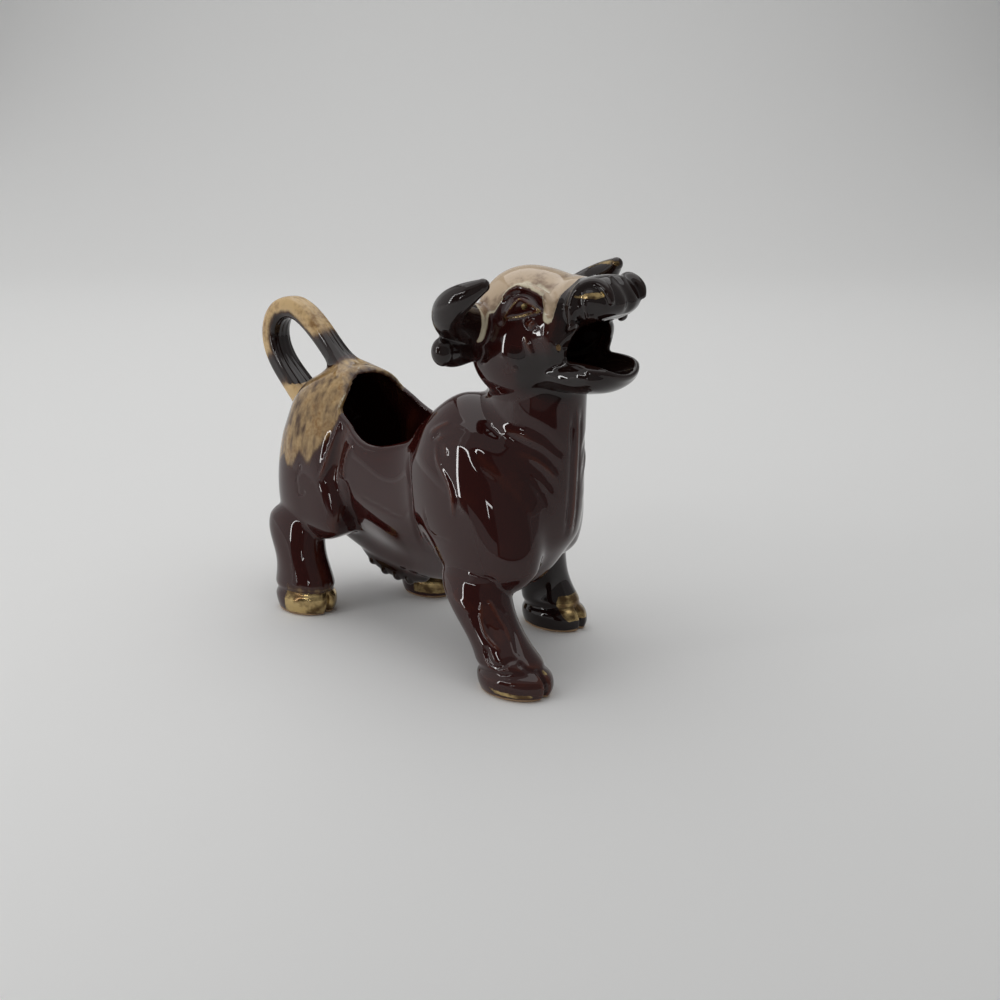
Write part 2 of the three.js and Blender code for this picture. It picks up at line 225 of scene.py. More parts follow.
@dataclass
class Slices:
    """A form that is a stack of oval slices.

    A point lies at (u, v) in its slice, where u is 1 at the high limit and -1 at the low one and
    v is 1 at the side. With w the share of the end rounding that it has used, the surface is
    (|u|^n + |v|^n)^(2/n) + w^2 = 1, and the distance is that root less one over its slope.

    Attributes:
        stations: Rows of at, high, low, half, off and pinch, as in the part's source.
        along: Which way the stack runs.
        rounds: Length of the rounding at each end.
        corner: n above the middle of a slice. It is 2 below.
        mirrored: Whether it is made on both sides.
        lean: How far the right and left copies shift along X for each mm below lean_top.
        lean_top: Height at which the lean starts.
    """

    stations: Sequence[Sequence[float]]
    along: Along = Along.LENGTH
    rounds: tuple[float, float] = (8.0, 8.0)
    corner: float = 2.0
    mirrored: bool = False
    lean: tuple[float, float] = (0.0, 0.0)
    lean_top: float = 0.0

    def __post_init__(self) -> None:
        """Fits the spline and finds the box that the stack lies in."""
        rows = np.array([list(s) + [0.0] * (6 - len(s)) for s in self.stations], float)
        self.curve = Curve(rows[:, 0], rows[:, 1:])
        own, other = self.along.value
        low, high = np.zeros(3), np.zeros(3)
        low[own], high[own] = rows[0, 0], rows[-1, 0]
        low[other], high[other] = rows[:, 2].min(), rows[:, 1].max()
        shift = max(self.lean) * (self.lean_top - rows[0, 0]) if max(self.lean) else 0.0
        high[0] += max(shift, 0.0)
        side = (rows[:, 4], rows[:, 3])
        low[1], high[1] = (side[0] - side[1]).min(), (side[0] + side[1]).max()
        if self.mirrored:
            low[1] = -high[1]
        self.low, self.high = low, high

    def distance(self, points: Array, margin: float = 12.0) -> Array:
        """Signed distance to the stack, near it."""
        return only_near(points, self.low, self.high, margin, FAR, self._near)

    def _near(self, points: Array) -> Array:
        """Signed distance for points close by."""
        own, other = self.along.value
        at, across, side = points[:, own], points[:, other], points[:, 1]
        if max(self.lean):
            slope = np.where(side < 0, self.lean[0], self.lean[1])
            across = across - slope * (self.lean_top - at)
        if self.mirrored:
            side = np.abs(side)
        high, low, half, off, pinch = self.curve(at).T
        deep = (high - low) / 2.0
        u = (across - (high + low) / 2.0) / deep
        v = (side - off) / half
        down = np.clip(-u / (np.hypot(u, v) + 1e-6), 0.0, 1.0)
        narrow = 1.0 - pinch * down**1.5
        v = v / narrow
        if self.corner == 2.0:
            flat = u * u + v * v
        else:
            n = 2.0 + (self.corner - 2.0) * ramp(u, 0.0, 0.4)
            flat = (np.abs(u) ** n + np.abs(v) ** n) ** (2.0 / n)
        start, end = self.curve.knots[0], self.curve.knots[-1]
        w2 = np.zeros_like(at)
        w_slope = np.zeros_like(at)
        for length, gone in ((self.rounds[0], at - start), (self.rounds[1], end - at)):
            if length:
                w = np.maximum(0.0, 1.0 - gone / length)
                w2 += w * w
                w_slope += w * w / length**2
            else:
                w = np.maximum(0.0, -gone)
                w2 += w * w
                w_slope += w * w
        root = np.sqrt(flat + w2)
        slope = np.sqrt((u / deep) ** 2 + (v / (half * narrow)) ** 2 + w_slope)
        return from_root(root, slope, np.minimum(deep, half))


@dataclass
class Rod:
    """An oval section carried along a smooth line, with domed ends.

    At the nearest place on the line, a is the share of the half size across and b that of the
    half size square to it. The surface is |a|^n + |b|^n = 1.

    Attributes:
        points: Rows of x, y, z, half size across and half size square to it.
        across: The direction in which the first half size lies.
        corner: n.
        mirrored: Whether it is made on both sides.
        strands: Number of lengthwise ribs over the section, or 0.
        rib: Depth of the grooves between them.
    """

    points: Sequence[Sequence[float]]
    across: Point = (0.0, 1.0, 0.0)
    corner: float = 2.0
    mirrored: bool = False
    strands: int = 0
    rib: float = 0.0

    def __post_init__(self) -> None:
        """Samples the line closely, with its directions."""
        curve = Curve.through(self.points)
        rows = curve.sampled(max(24, int(curve.knots[-1] / 0.45)))
        self.line, self.sizes = rows[:, :3], rows[:, 3:5]
        way = np.gradient(self.line, axis=0)
        self.way = way / np.linalg.norm(way, axis=1)[:, None]
        across = np.asarray(self.across, float)
        wide = across - (self.way @ across)[:, None] * self.way
        self.wide = wide / np.linalg.norm(wide, axis=1)[:, None]
        self.deep = np.cross(self.way, self.wide)
        self.length = np.linalg.norm(np.diff(self.line, axis=0), axis=1).sum()
        reach = self.sizes.max()
        self.low, self.high = self.line.min(0) - reach, self.line.max(0) + reach
        if self.mirrored:
            self.low[1] = -self.high[1]

    def distance(self, points: Array, margin: float = 9.0) -> Array:
        """Signed distance to the rod, near it."""
        return only_near(points, self.low, self.high, margin, FAR, self._near)

    def towards(self, points: Array, target: Point) -> Array:
        """How far each point lies from the line in the direction of a target, in mm.

        Args:
            points: N by 3 places.
            target: The place that the direction is taken to.

        Returns:
            N lengths, above zero on the side of the target.
        """
        i = in_chunks(lambda p: ((p[:, None] - self.line[None]) ** 2).sum(2).argmin(1), points, ROD_CHUNK)
        way = np.asarray(target) - self.line[i]
        return ((points - self.line[i]) * way).sum(1) / np.linalg.norm(way, axis=1)

    def _near(self, points: Array) -> Array:
        """Signed distance for points close by, in chunks."""
        points = both_sides(points) if self.mirrored else points
        return in_chunks(self._chunk, points, ROD_CHUNK)

    def _chunk(self, points: Array) -> Array:
        """Signed distance for one chunk of points."""
        square = (points**2).sum(1)[:, None] - 2.0 * points @ self.line.T + (self.line**2).sum(1)[None]
        i, last = square.argmin(1), len(self.line) - 1
        along = ((points - self.line[i]) * self.way[i]).sum(1)
        past = np.where(i == 0, np.minimum(along, 0.0), np.where(i == last, np.maximum(along, 0.0), 0.0))
        place = np.clip(i + along * last / self.length, 0.0, last)
        k = np.minimum(place.astype(int), last - 1)
        share = (place - k)[:, None]
        gone = points - self.line[k] * (1.0 - share) - self.line[k + 1] * share
        w, d = (self.sizes[k] * (1.0 - share) + self.sizes[k + 1] * share).T
        a = (gone * (self.wide[k] * (1.0 - share) + self.wide[k + 1] * share)).sum(1) / w
        b = (gone * (self.deep[k] * (1.0 - share) + self.deep[k + 1] * share)).sum(1) / d
        tip = past / np.minimum(w, d)
        n = self.corner
        root = np.sqrt((np.abs(a) ** n + np.abs(b) ** n) ** (2.0 / n) + tip * tip)
        slope = np.sqrt((a / w) ** 2 + (b / d) ** 2 + (tip / np.minimum(w, d)) ** 2)
        found = from_root(root, slope, np.minimum(w, d))
        if self.strands:
            waves = np.cos(np.pi * self.strands * (a + 0.12 * np.sin(0.05 * place)))
            found += self.rib * (0.5 - 0.5 * waves) ** 2
        return found


@dataclass
class Mound:
    """An ellipsoid lump.

    Attributes:
        centre: Its middle.
        size: Its half sizes.
        mirrored: Whether it is made on both sides.
    """

    centre: Point
    size: Point
    mirrored: bool = True

    def distance(self, points: Array) -> Array:
        """Signed distance, from the scaled radius over its slope."""
        centre, size = np.asarray(self.centre), np.asarray(self.size)
        points = both_sides(points) if self.mirrored else points
        return only_near(
            points, centre - size, centre + size, 9.0, FAR, lambda p: self._near(p, centre, size))

    @staticmethod
    def _near(points: Array, centre: Array, size: Array) -> Array:
        """Signed distance for points close by."""
        scaled = (points - centre) / size
        root = np.linalg.norm(scaled, axis=1)
        return from_root(root, np.linalg.norm(scaled / size, axis=1), size.min())


class Side(Enum):
    """On which side of the bull a mark or crease lies."""

    BOTH = 0
    LEFT = 1
    RIGHT = -1


@dataclass
class Stroke:
    """A smooth line on or near the skin: a crease, a ridge, or a brush stroke.

    Attributes:
        points: Rows of x, y, z on the left side, and of the width there for a brush stroke.
        width: How far from the line its effect fades.
        depth: How far it sinks the skin, or raises it when below zero.
        side: Where it is made.
        flat: Whether distance to it is measured in the side view alone.
        taper: Share of its length over which each end fades.
    """

    points: Sequence[Sequence[float]]
    width: float = 1.0
    depth: float = 0.0
    side: Side = Side.BOTH
    flat: bool = False
    taper: float = 0.15

    def __post_init__(self) -> None:
        """Samples the line."""
        self.line = Curve.through(self.points).sampled(max(6, 4 * len(self.points)))

    def _to_line(self, points: Array) -> tuple[Array, Array]:
        """Distance to the line and the share of its length at the nearest place.

        Args:
            points: N by 3 places, already folded to the left.

        Returns:
            N distances and N shares.
        """
        keep = [0, 2] if self.flat else [0, 1, 2]
        p, line = points[:, keep], self.line[:, :3][:, keep]
        best, share = np.full(len(p), np.inf), np.zeros(len(p))
        for i in range(len(line) - 1):
            step = line[i + 1] - line[i]
            t = np.clip(((p - line[i]) @ step) / (step @ step), 0.0, 1.0)
            gap = np.linalg.norm(p - line[i] - t[:, None] * step, axis=1)
            nearer = gap < best
            best = np.where(nearer, gap, best)
            share = np.where(nearer, (i + t) / (len(line) - 1), share)
        return best, share

    def _placed(self, points: Array, margin: float, away: float, work: Callable[[Array], Array]) -> Array:
        """Works on the points near the line, on its own side or sides."""
        low, high = self.line[:, :3].min(0), self.line[:, :3].max(0)
        folded = both_sides(points)
        if self.flat:
            low[1], high[1] = low[1] - 4.0, high[1] + 4.0
        values = only_near(folded, low, high, margin, away, work)
        if self.side is not Side.BOTH:
            values = np.where(points[:, 1] * self.side.value > 0, values, away)
        return values

    def relief(self, points: Array) -> Array:
        """How far the skin sinks: depth times exp(-(distance / width)^2), faded at the ends."""
        def work(p: Array) -> Array:
            """The relief of points close by."""
            gap, share = self._to_line(p)
            fade = np.minimum(np.minimum(share, 1.0 - share) / self.taper, 1.0) if self.taper else 1.0
            return self.depth * np.exp(-((gap / self.width) ** 2)) * fade
        return self._placed(points, 2.5 * self.width, 0.0, work)

    def mark(self, points: Array) -> Array:
        """Distance outside a brush stroke of the line's own widths, in mm."""
        def work(p: Array) -> Array:
            """The distance of points close by."""
            gap, share = self._to_line(p)
            widths = self.line[:, 3] if self.line.shape[1] > 3 else np.full(len(self.line), self.width)
            return gap - np.interp(share, np.linspace(0.0, 1.0, len(widths)), widths)
        return self._placed(points, 3.0, 5.0, work)


def sink(values: Array, points: Array, strokes: Iterable[Stroke]) -> Array:
    """Adds the relief of some strokes to a form's distances."""
    for stroke in strokes:
        values = values + stroke.relief(points)
    return values


@dataclass
class Body:
    """The hollow body: barrel, neck, shoulders and haunches, with the opening in its back."""

    wall: float = 3.2
    opening_tilt: float = 0.15
    opening_box: tuple[Point, Point] = ((-50.0, -40.0, 54.0), (4.0, 40.0, 98.0))
    opening: Sequence[tuple[float, float]] = (
        (-42, 98), (-38.4, 80), (-36.4, 76.8), (-34, 75), (-32.3, 72.8), (-31.8, 70.5), (-31.9, 68.2),
        (-29.3, 66),
        (-25.6, 63.3), (-20.7, 60.6), (-15.9, 59.7), (-10.5, 60.2), (-5.2, 61.8), (-1.6, 63.6),
        (-0.2, 65.4),
        (-2.5, 67.5), (-8, 69.5), (-10, 98),
    )
    barrel: Slices = field(default_factory=lambda: Slices([
        (-66.5, 60, 38, 11.5, 0, 0), (-59, 69, 31, 14.5, 0, 0), (-52, 73, 26, 17.5, 0, 0.1),
        (-42, 77, 20, 18, 0, 0.3), (-33, 76, 16, 17.5, 0, 0.5), (-20, 71, 14, 18, 0, 0.55),
        (-7, 65.8, 14, 19, 0, 0.5), (6, 70.8, 16, 20, 0, 0.4), (20, 75.2, 18, 20, 0, 0.3),
        (34, 70, 22, 16, 0, 0.2), (46.5, 62, 31, 10.5, 0, 0),
    ], rounds=(15, 12), corner=2.5))
    neck: Slices = field(default_factory=lambda: Slices([
        (30, 45, 14, 14), (42, 47.6, 13, 14.5), (56, 49.3, 13, 15.2), (68, 49.9, 15.8, 13.5),
        (77, 50, 19.8, 12.9), (84, 50, 21.6, 12.5), (98, 46, 25.5, 11.4),
    ], Along.HEIGHT, rounds=(10, 8)))
    shoulder: Slices = field(default_factory=lambda: Slices([
        (22, 32, 6, 8.5, 15.5), (31, 37, 2.5, 10, 14.8), (44, 39.5, -2, 11.3, 13.4),
        (58, 37.5, 0, 11, 12), (70, 33, 4, 9.5, 9.5), (77, 28, 8, 8.5, 8),
    ], Along.HEIGHT, rounds=(10, 12), mirrored=True, lean=(0.25, 0.0), lean_top=70))
    haunch: Slices = field(default_factory=lambda: Slices([
        (23, -28, -57, 7.5, 13.5), (31, -27, -60, 9, 12.5), (43, -30, -61.6, 10.2, 10.8),
        (55, -30.6, -60.4, 10.3, 9), (68, -32.5, -56, 9.6, 7),
    ], Along.HEIGHT, rounds=(9, 14), corner=4.4, mirrored=True))
    creases: Sequence[Stroke] = (
        Stroke([(-26.6, 15.5, 63.5), (-28, 16.6, 58.5), (-29.6, 17, 53), (-30.6, 17.3, 47.5),
            (-31.2, 17.3, 41)], 2.6, 1.1, flat=True, taper=0.35),
        Stroke([(-30.2, 15.5, 64), (-31.7, 16.8, 56.2), (-33.1, 16.8, 50.6),
            (-35.1, 17.4, 44.3)], 0.8, -0.5, flat=True),
        Stroke([(-23.2, 16.7, 57.9), (-25.6, 17, 54), (-27.2, 17.4, 49),
            (-26.8, 17.5, 44.7)], 0.9, -0.45, flat=True),
        Stroke([(-27.6, 17.6, 46.5), (-26, 17.5, 43.4), (-25.7, 16.2, 38.5), (-27.4, 14.6, 33),
            (-28.5, 12, 27)], 1.2, 0.85, flat=True, taper=0.2),
        Stroke([(-19.6, 18, 42.1), (-17.1, 18.2, 41.5), (-8.2, 18.9, 40.2), (2.1, 19.4, 40.6),
            (4, 19.8, 43.7)], 0.55, 0.2),
        Stroke([(1.5, 17.9, 61), (2.5, 18.9, 56.8), (4.4, 19.4, 51.6), (5.5, 19.8, 46), (5, 17.9, 36.3),
            (3.5, 14, 27)], 1.1, 0.6, taper=0.25),
        Stroke([(15.9, 20.6, 65.4), (18.3, 22.3, 60.2), (22.8, 23.5, 55.5), (24.9, 24.1, 51.4),
            (25.8, 24.6, 45.5)], 0.75, -0.5, taper=0.2),
        Stroke([(19.1, 20.7, 65.6), (21.3, 21.9, 61.7)], 0.7, -0.3, taper=0.3),
        Stroke([(11.8, 18.7, 66.6), (14.6, 18.8, 68.8), (19, 17.6, 70.8)], 0.8, -0.45, taper=0.2),
        Stroke([(16, 20.6, 65.6), (19, 19.6, 67.2), (22.6, 18.6, 67.6)], 0.7, -0.4, taper=0.2),
        Stroke([(20, 18.2, 69.6), (24, 17.2, 69.8), (27.6, 17.6, 66.8)], 0.7, -0.4, taper=0.2),
        Stroke([(13.6, 20.2, 65.4), (16.5, 19.4, 68)], 0.7, 0.35, taper=0.2),
        Stroke([(21, 19.4, 66), (25, 18.6, 66.4)], 0.7, 0.35, taper=0.2),
        Stroke([(13.5, 22.9, 46.8), (13.2, 22.8, 43), (14.3, 22.6, 40), (16.5, 23.4, 38.8),
            (20, 24, 38.6), (25.4, 24.8, 39.3)], 0.5, 0.22),
        Stroke([(36, 15.5, 66), (38, 15.5, 61), (40.5, 14.8, 56), (43, 13.5, 51)], 3.2, -0.3, taper=0.5),
        Stroke([(26, 15, 68.5), (31.5, 19.4, 62.1), (37, 17.6, 57.7), (40.2, 16.2, 54.5),
            (42.4, 14.9, 51.4), (44.3, 13.3, 47.6), (45.8, 11.7, 42.7)], 1.8, 0.5, taper=0.4),
        Stroke([(38.5, 12.8, 73), (41.5, 11.8, 72.2), (45.1, 9.8, 70.2), (47.7, 7.2, 67),
            (49.3, 3.9, 63.7), (49.6, 2.4, 58)], 1.6, 0.5, taper=0.35),
        Stroke([(36, 13.7, 68.2), (40.8, 12.3, 66.8), (44, 10.3, 65.4), (46.5, 7.8, 62.7),
            (48.2, 5.8, 59.5), (49.1, 3, 53)], 1.7, 0.6, taper=0.35),
        Stroke([(37, 15, 61.6), (41, 12.9, 59.3), (43.4, 11.5, 57.3), (45, 9.5, 53.9),
            (46.9, 6.9, 47)], 1.6, 0.5, taper=0.35),
        Stroke([(41, 13, 63.6), (44.3, 10.7, 60.6), (46.1, 8.3, 57.6),
            (48, 5.6, 51)], 1.5, 0.45, taper=0.35),
        Stroke([(28, 14, 71.8), (31, 14.1, 70.2), (36, 13.7, 68.1)], 1.6, 0.45, taper=0.35),
        Stroke([(30, 13.6, 72.4), (35.8, 13.5, 70.6), (39.5, 13.1, 70), (42.7, 11.6, 68.4),
            (46, 9.3, 65.6)], 1.2, -0.3, taper=0.35),
        Stroke([(38.7, 13.9, 65), (42.9, 11.3, 63.6), (46.5, 8.4, 60.4),
            (48.1, 5.5, 55.6)], 1.2, -0.3, taper=0.35),
        Stroke([(49.2, 1.9, 77), (49.4, 1.9, 66), (49.1, 1.9, 56), (48.4, 1.9, 47),
            (47, 1.9, 39)], 0.6, 0.45, taper=0.15),
        Stroke([(26.4, 27.6, 25.6), (30.1, 26.8, 27.8), (33.2, 25.3, 29), (37, 23.7, 29.8),
            (40.4, 22.4, 29.6)], 1.0, 1.1, Side.RIGHT, taper=0.2),
        Stroke([(-44.4, 19.9, 48.8), (-43.4, 19.8, 47.2), (-44.8, 20.6, 44.4), (-44.6, 21, 41),
            (-44.4, 21, 38.3)], 0.5, 0.2, Side.RIGHT, True, 0.1),
        Stroke([(-44.4, 21, 38.3), (-42.6, 20.8, 38.7),
            (-40.8, 20.4, 39.7)], 0.5, 0.2, Side.RIGHT, True, 0.1),
    )
    mould_line: Sequence[Point] = ((50, 0, 78), (49.9, 0, 70.6), (49.7, 0, 64), (49.4, 0, 57.7),
        (48.9, 0, 48), (47.4, 0, 38))

    def core(self, points: Array) -> Array:
        """Distance to the plain body, before its folds and its hollow."""
        found = blend(self.barrel.distance(points), self.neck.distance(points), 7.0)
        found = blend(found, self.shoulder.distance(points), 9.0)
        return blend(found, self.haunch.distance(points), 3.0)

    def folded(self, core: Array, points: Array) -> Array:
        """The plain body with its folds and creases."""
        found = sink(core, points, self.creases)
        return found + Stroke(self.mould_line, 0.85, -0.55, Side.BOTH, taper=0.2).relief(points)

    def open_back(self, points: Array) -> Array:
        """Signed distance to the filling opening, a profile in side view that is tilted sideways."""
        low, high = np.array(self.opening_box)
        return only_near(points, low, high, 4.0, FAR, self._open_near)

    def _open_near(self, points: Array) -> Array:
        """Signed distance to the opening for points close by."""
        sides = Curve.through([(x, z, 0.0) for x, z in self.opening]).sampled(60)[:, :2]
        return outline_distance(points[:, 0], points[:, 2] - self.opening_tilt * points[:, 1], sides)


@dataclass
class Head:
    """The hollow head: skull, cheeks, brows, muzzle and jaw round the open mouth."""

    skull: Slices = field(default_factory=lambda: Slices([
        (17, 106, 88, 11), (26, 113, 83, 14.5), (36, 114.5, 81.5, 15.5), (46, 113, 83, 14.2),
        (56, 111.5, 88, 13.4),
    ], rounds=(9, 7)))
    muzzle: Slices = field(default_factory=lambda: Slices([
        (42, 112.5, 96, 11), (52, 113, 99, 11.3), (60, 114.3, 101.8, 12.3), (67.2, 111.5, 103.5, 9.6),
    ], rounds=(8, 7)))
    jaw: Slices = field(default_factory=lambda: Slices([
        (34, 92, 81, 11), (46, 93, 81.5, 11.5), (57, 93.5, 82, 11.6), (67, 92.5, 84.5, 9.2),
    ], rounds=(6, 6)))
    throat: Slices = field(default_factory=lambda: Slices([
        (30, 103, 88, 9), (46, 102.5, 86.5, 9.3), (54, 102.5, 86.8, 9.3), (62, 103, 87.6, 9.3),
        (70, 104, 89.2, 8.4), (80, 105.5, 90.5, 8.4),
    ], rounds=(8, 0)))
    gape: Sequence[tuple[float, float]] = (
        (53.6, 95.6), (54.8, 98), (57.1, 100.3), (59.3, 101.9), (61.5, 103.2), (66.9, 105), (82, 107),
        (82, 90.8),
        (67.3, 90.6), (64.4, 91), (61.7, 91.6), (58.5, 92.5), (55.6, 93.8),
    )
    gape_box: tuple[Point, Point] = ((53.0, -20.0, 90.0), (82.0, 20.0, 107.0))
    cheek: Mound = field(default_factory=lambda: Mound((33.8, 8.2, 91), (14, 8.4, 12.5)))
    lid: Mound = field(default_factory=lambda: Mound((41.5, 11.2, 104.4), (7.4, 2.9, 4.4)))
    tear: Mound = field(default_factory=lambda: Mound((44.8, 13.4, 101.2), (1.7, 1.3, 1.7)))
    brow: Rod = field(default_factory=lambda: Rod([
        (34.8, 12.8, 107.6, 1.0, 1.0), (37.2, 11.4, 109.6, 1.4, 1.4), (41, 10.7, 109.9, 1.5, 1.5),
        (45.4, 11, 109, 1.5, 1.5), (48.6, 11.4, 107, 1.3, 1.3), (50, 11.8, 105, 0.9, 0.9),
    ], across=(0, 0, 1), mirrored=True))
    wing: Rod = field(default_factory=lambda: Rod([
        (56.2, 11, 101.6, 1.0, 1.0), (56.4, 11.2, 105, 1.3, 1.3), (56.9, 10.9, 108.6, 1.4, 1.4),
        (57.8, 9.8, 111.4, 1.5, 1.5), (60, 8, 112.9, 1.5, 1.5), (63, 7, 112.6, 1.5, 1.5),
        (65.4, 7, 110.6, 1.3, 1.3), (66.0, 6.8, 108.9, 1.0, 1.0),
    ], across=(0, 0, 1), mirrored=True))
    creases: Sequence[Stroke] = (
        Stroke([(51.6, 3, 113.4), (52.2, 6.6, 111.8), (53.4, 10.4, 108.6), (53.4, 11.8, 103.5),
            (52.8, 12.4, 98.5)], 1.2, 1.5, taper=0.2),
        Stroke([(37, 13.2, 107.2), (39.4, 12.8, 108.4), (42, 12.6, 108.5), (45.4, 12.8, 107.1),
            (48.4, 12.8, 105)], 0.65, 0.6, taper=0.15),
        Stroke([(36.4, 15.4, 99.8), (34.9, 14.9, 102.5), (35.2, 13.7, 105.8),
            (36.4, 12.9, 108)], 1.3, 0.6, taper=0.2),
        Stroke([(35.8, 15, 101.8), (38, 14.4, 105), (40.2, 13.6, 107.6), (43.8, 13.5, 106.5),
            (47.4, 13.2, 105)], 0.5, -0.35, taper=0.1),
        Stroke([(35.8, 15, 101.8), (41.6, 14.8, 103.2), (47.4, 13.2, 105)], 0.5, -0.35, taper=0.1),
        Stroke([(42.3, 14.8, 102), (43.4, 15, 100.2), (45.2, 14.8, 99.7),
            (46.8, 14, 101.6)], 0.55, 0.5, taper=0.15),
        Stroke([(59.6, 10.9, 108.2), (61.5, 10.4, 107), (63.4, 9.8, 106)], 2.4, 1.2, taper=0.0),
        Stroke([(60.4, 10.6, 108.6), (60.8, 10.4, 106), (61, 10, 103.4)], 0.5, -0.7, taper=0.2),
        Stroke([(60.5, 0, 114.6), (65.5, 0, 112.2), (67.3, 0, 107.4), (66, 0, 104)], 1.4, 1.2, taper=0.2),
        Stroke([(49.6, 12.7, 93.6), (52, 12.3, 90.6), (54.5, 11.8, 88.5), (58, 11.4, 87),
            (62, 10.4, 86.2)], 1.9, 0.4, taper=0.35),
        Stroke([(43, 14.6, 98), (44.3, 14.3, 95.6), (45.8, 13.7, 92)], 0.8, -0.4, taper=0.25),
        Stroke([(40.2, 14.9, 88.7), (40.6, 14.8, 88.7)], 0.8, -0.35, taper=0.0),
        Stroke([(28.2, 16.2, 90.2), (29.6, 16.6, 91.4)], 1.5, 1.1, taper=0.0),
    )

    def mouth(self, points: Array) -> Array:
        """Signed distance to the open mouth: a throat, and a wedge in side view across the lips."""
        low, high = np.array(self.gape_box)
        wedge = only_near(
            points, low, high, 4.0, FAR, lambda p: outline_distance(p[:, 0], p[:, 2], np.array(self.gape)))
        return np.minimum(self.throat.distance(points), wedge)

    def form(self, points: Array) -> Array:
        """Distance to the head before its hollow."""
        found = blend(self.skull.distance(points), self.cheek.distance(points), 4.0)
        found = blend(found, self.muzzle.distance(points), 3.0)
        found = blend(found, self.lid.distance(points), 2.6)
        found = blend(found, self.brow.distance(points), 1.8)
        found = blend(found, self.wing.distance(points), 1.8)
        found = blend(found, self.tear.distance(points), 1.2)
        found = blend(found, self.jaw.distance(points), 3.0)
        return sink(found, points, self.creases)


@dataclass
class Leg:
    """One leg, from its flat sole up into the shoulder or haunch, with a cloven hoof."""

    GROOVE_DEPTH, GROOVE_WIDTH, GROOVE_SLOPE = 0.75, 1.2, 0.06
    CLEFT_DEPTH, CLEFT_WIDTH = 1.7, 0.8

    stations: Sequence[Sequence[float]]
    ankle: float = 7.6
    facet: Sequence[Stroke] = ()

    def __post_init__(self) -> None:
        """Makes the stack, and notes where the toe is."""
        self.stack = Slices(self.stations, Along.HEIGHT, rounds=(0, 6))
        self.toe, self.middle = self.stations[1][1], self.stations[1][4]

    def distance(self, points: Array) -> Array:
        """Signed distance with the groove over the hoof and the cleft in its toe."""
        return only_near(points, self.stack.low, self.stack.high, 12.0, FAR, self._near)

    def _near(self, points: Array) -> Array:
        """Signed distance for points close by."""
        found = self.stack._near(points)
        x, y, z = points.T
        ring = self.ankle + self.GROOVE_SLOPE * (x - self.toe)
        found = found + self.GROOVE_DEPTH * np.exp(-(((z - ring) / self.GROOVE_WIDTH) ** 2))
        toe = ramp(x, self.toe - 6.0, self.toe - 2.0) * (1.0 - ramp(z, 5.5, 8.5))
        found = found + self.CLEFT_DEPTH * np.exp(-(((y - self.middle) / self.CLEFT_WIDTH) ** 2)) * toe
        return sink(found, points, self.facet)


@dataclass
class Tail:
    """The looped tail that is the handle."""

    rod: Rod = field(default_factory=lambda: Rod([
        (-38, 0, 68, 6, 3.6), (-42.7, 0, 74.5, 4.8, 3.4), (-47.6, 0, 79, 4, 3.2),
        (-53.2, 0, 84.1, 3.8, 3.2),
        (-59.4, 0, 89, 3.8, 3.4), (-66.2, 0, 91.9, 3.9, 3.5), (-72.9, 0, 90.6, 4.1, 3.5),
        (-76.8, 0, 85.3, 4.3, 3.5),
        (-76.4, 0, 78.3, 4.4, 3.5), (-71.8, 0, 71.6, 4.6, 3.5), (-65.6, 0, 66, 5, 3.6),
        (-59, 0, 60, 5.6, 3.6),
    ], corner=3.0, strands=5, rib=0.1))


@dataclass
class Horns:
    """The two curled horns and the two drooping ears under them."""

    horn: Rod = field(default_factory=lambda: Rod([
        (27, 9, 99, 6, 6), (26.5, 16, 99.3, 6, 6), (26.7, 23.5, 101, 5.8, 5.6),
        (28.9, 28.6, 104.5, 5.1, 4.8),
        (33.2, 30.4, 108, 4.2, 3.9), (37.5, 29.8, 110.8, 3, 2.9), (40.6, 28.4, 112.7, 1.9, 1.9),
    ], across=(0, 0, 1), mirrored=True))
    ear: Rod = field(default_factory=lambda: Rod([
        (26, 10, 93.9, 4.5, 4), (25.4, 18, 93.8, 4.9, 4), (25.7, 24.8, 93.7, 5, 4),
        (26.2, 28.5, 93.6, 4, 3.2),
    ], across=(0, 0, 1), mirrored=True))
    creases: Sequence[Stroke] = (
        Stroke([(33.6, 19.5, 103.5), (33, 23.5, 103), (31.4, 27, 103.4)], 1.2, 0.7, taper=0.2),
        Stroke([(29.6, 16.2, 91.2), (30.2, 17.4, 92.6)], 1.3, 0.9, taper=0.0),
    )


@dataclass
class Ridge:
    """The ridge under the belly, with a row of beads."""

    blade: Slices = field(default_factory=lambda: Slices([
        (-41, 24, 20, 1.6), (-34, 22, 13.6, 2), (-26, 20, 10.8, 2), (-16, 20, 10.4, 2),
        (-7, 20, 12.5, 1.8),
    ], rounds=(4, 4)))
    beads: Sequence[tuple[float, float]] = ((-33, 14.1), (-27.5, 12), (-22, 11.3), (-16.5, 11.2))
    bead: float = 1.75

    def distance(self, points: Array) -> Array:
        """Signed distance to the blade and its beads."""
        found = self.blade.distance(points)
        for x, z in self.beads:
            found = blend(found, Mound((x, 0.0, z), (self.bead,) * 3, False).distance(points), 0.8)
        return found


@dataclass(frozen=True)
class Fillets:
    """How far the distances of two forms still soften each other where they meet, in mm."""

    leg: float = 1.6
    tail: float = 5.0
    ridge: float = 1.5
    head: float = 2.0
    horn: float = 1.6
    ear: float = 1.4
    hollow: float = 0.9
    sole: float = 1.2


@dataclass(frozen=True)
class Bead:
    """A round bead along an edge of the clay.

    Attributes:
        out: How far its line lies outside the hole, in mm.
        deep: How far its line lies under the skin.
        radius: Its radius.
        soft: The fillet between it and the clay.
    """

    out: float
    deep: float
    radius: float
    soft: float

    def distance(self, hole: Array, skin: Array) -> Array:
        """Signed distance, from the distances to the hole and to the skin."""
        return np.hypot(hole - self.out, skin + self.deep) - self.radius


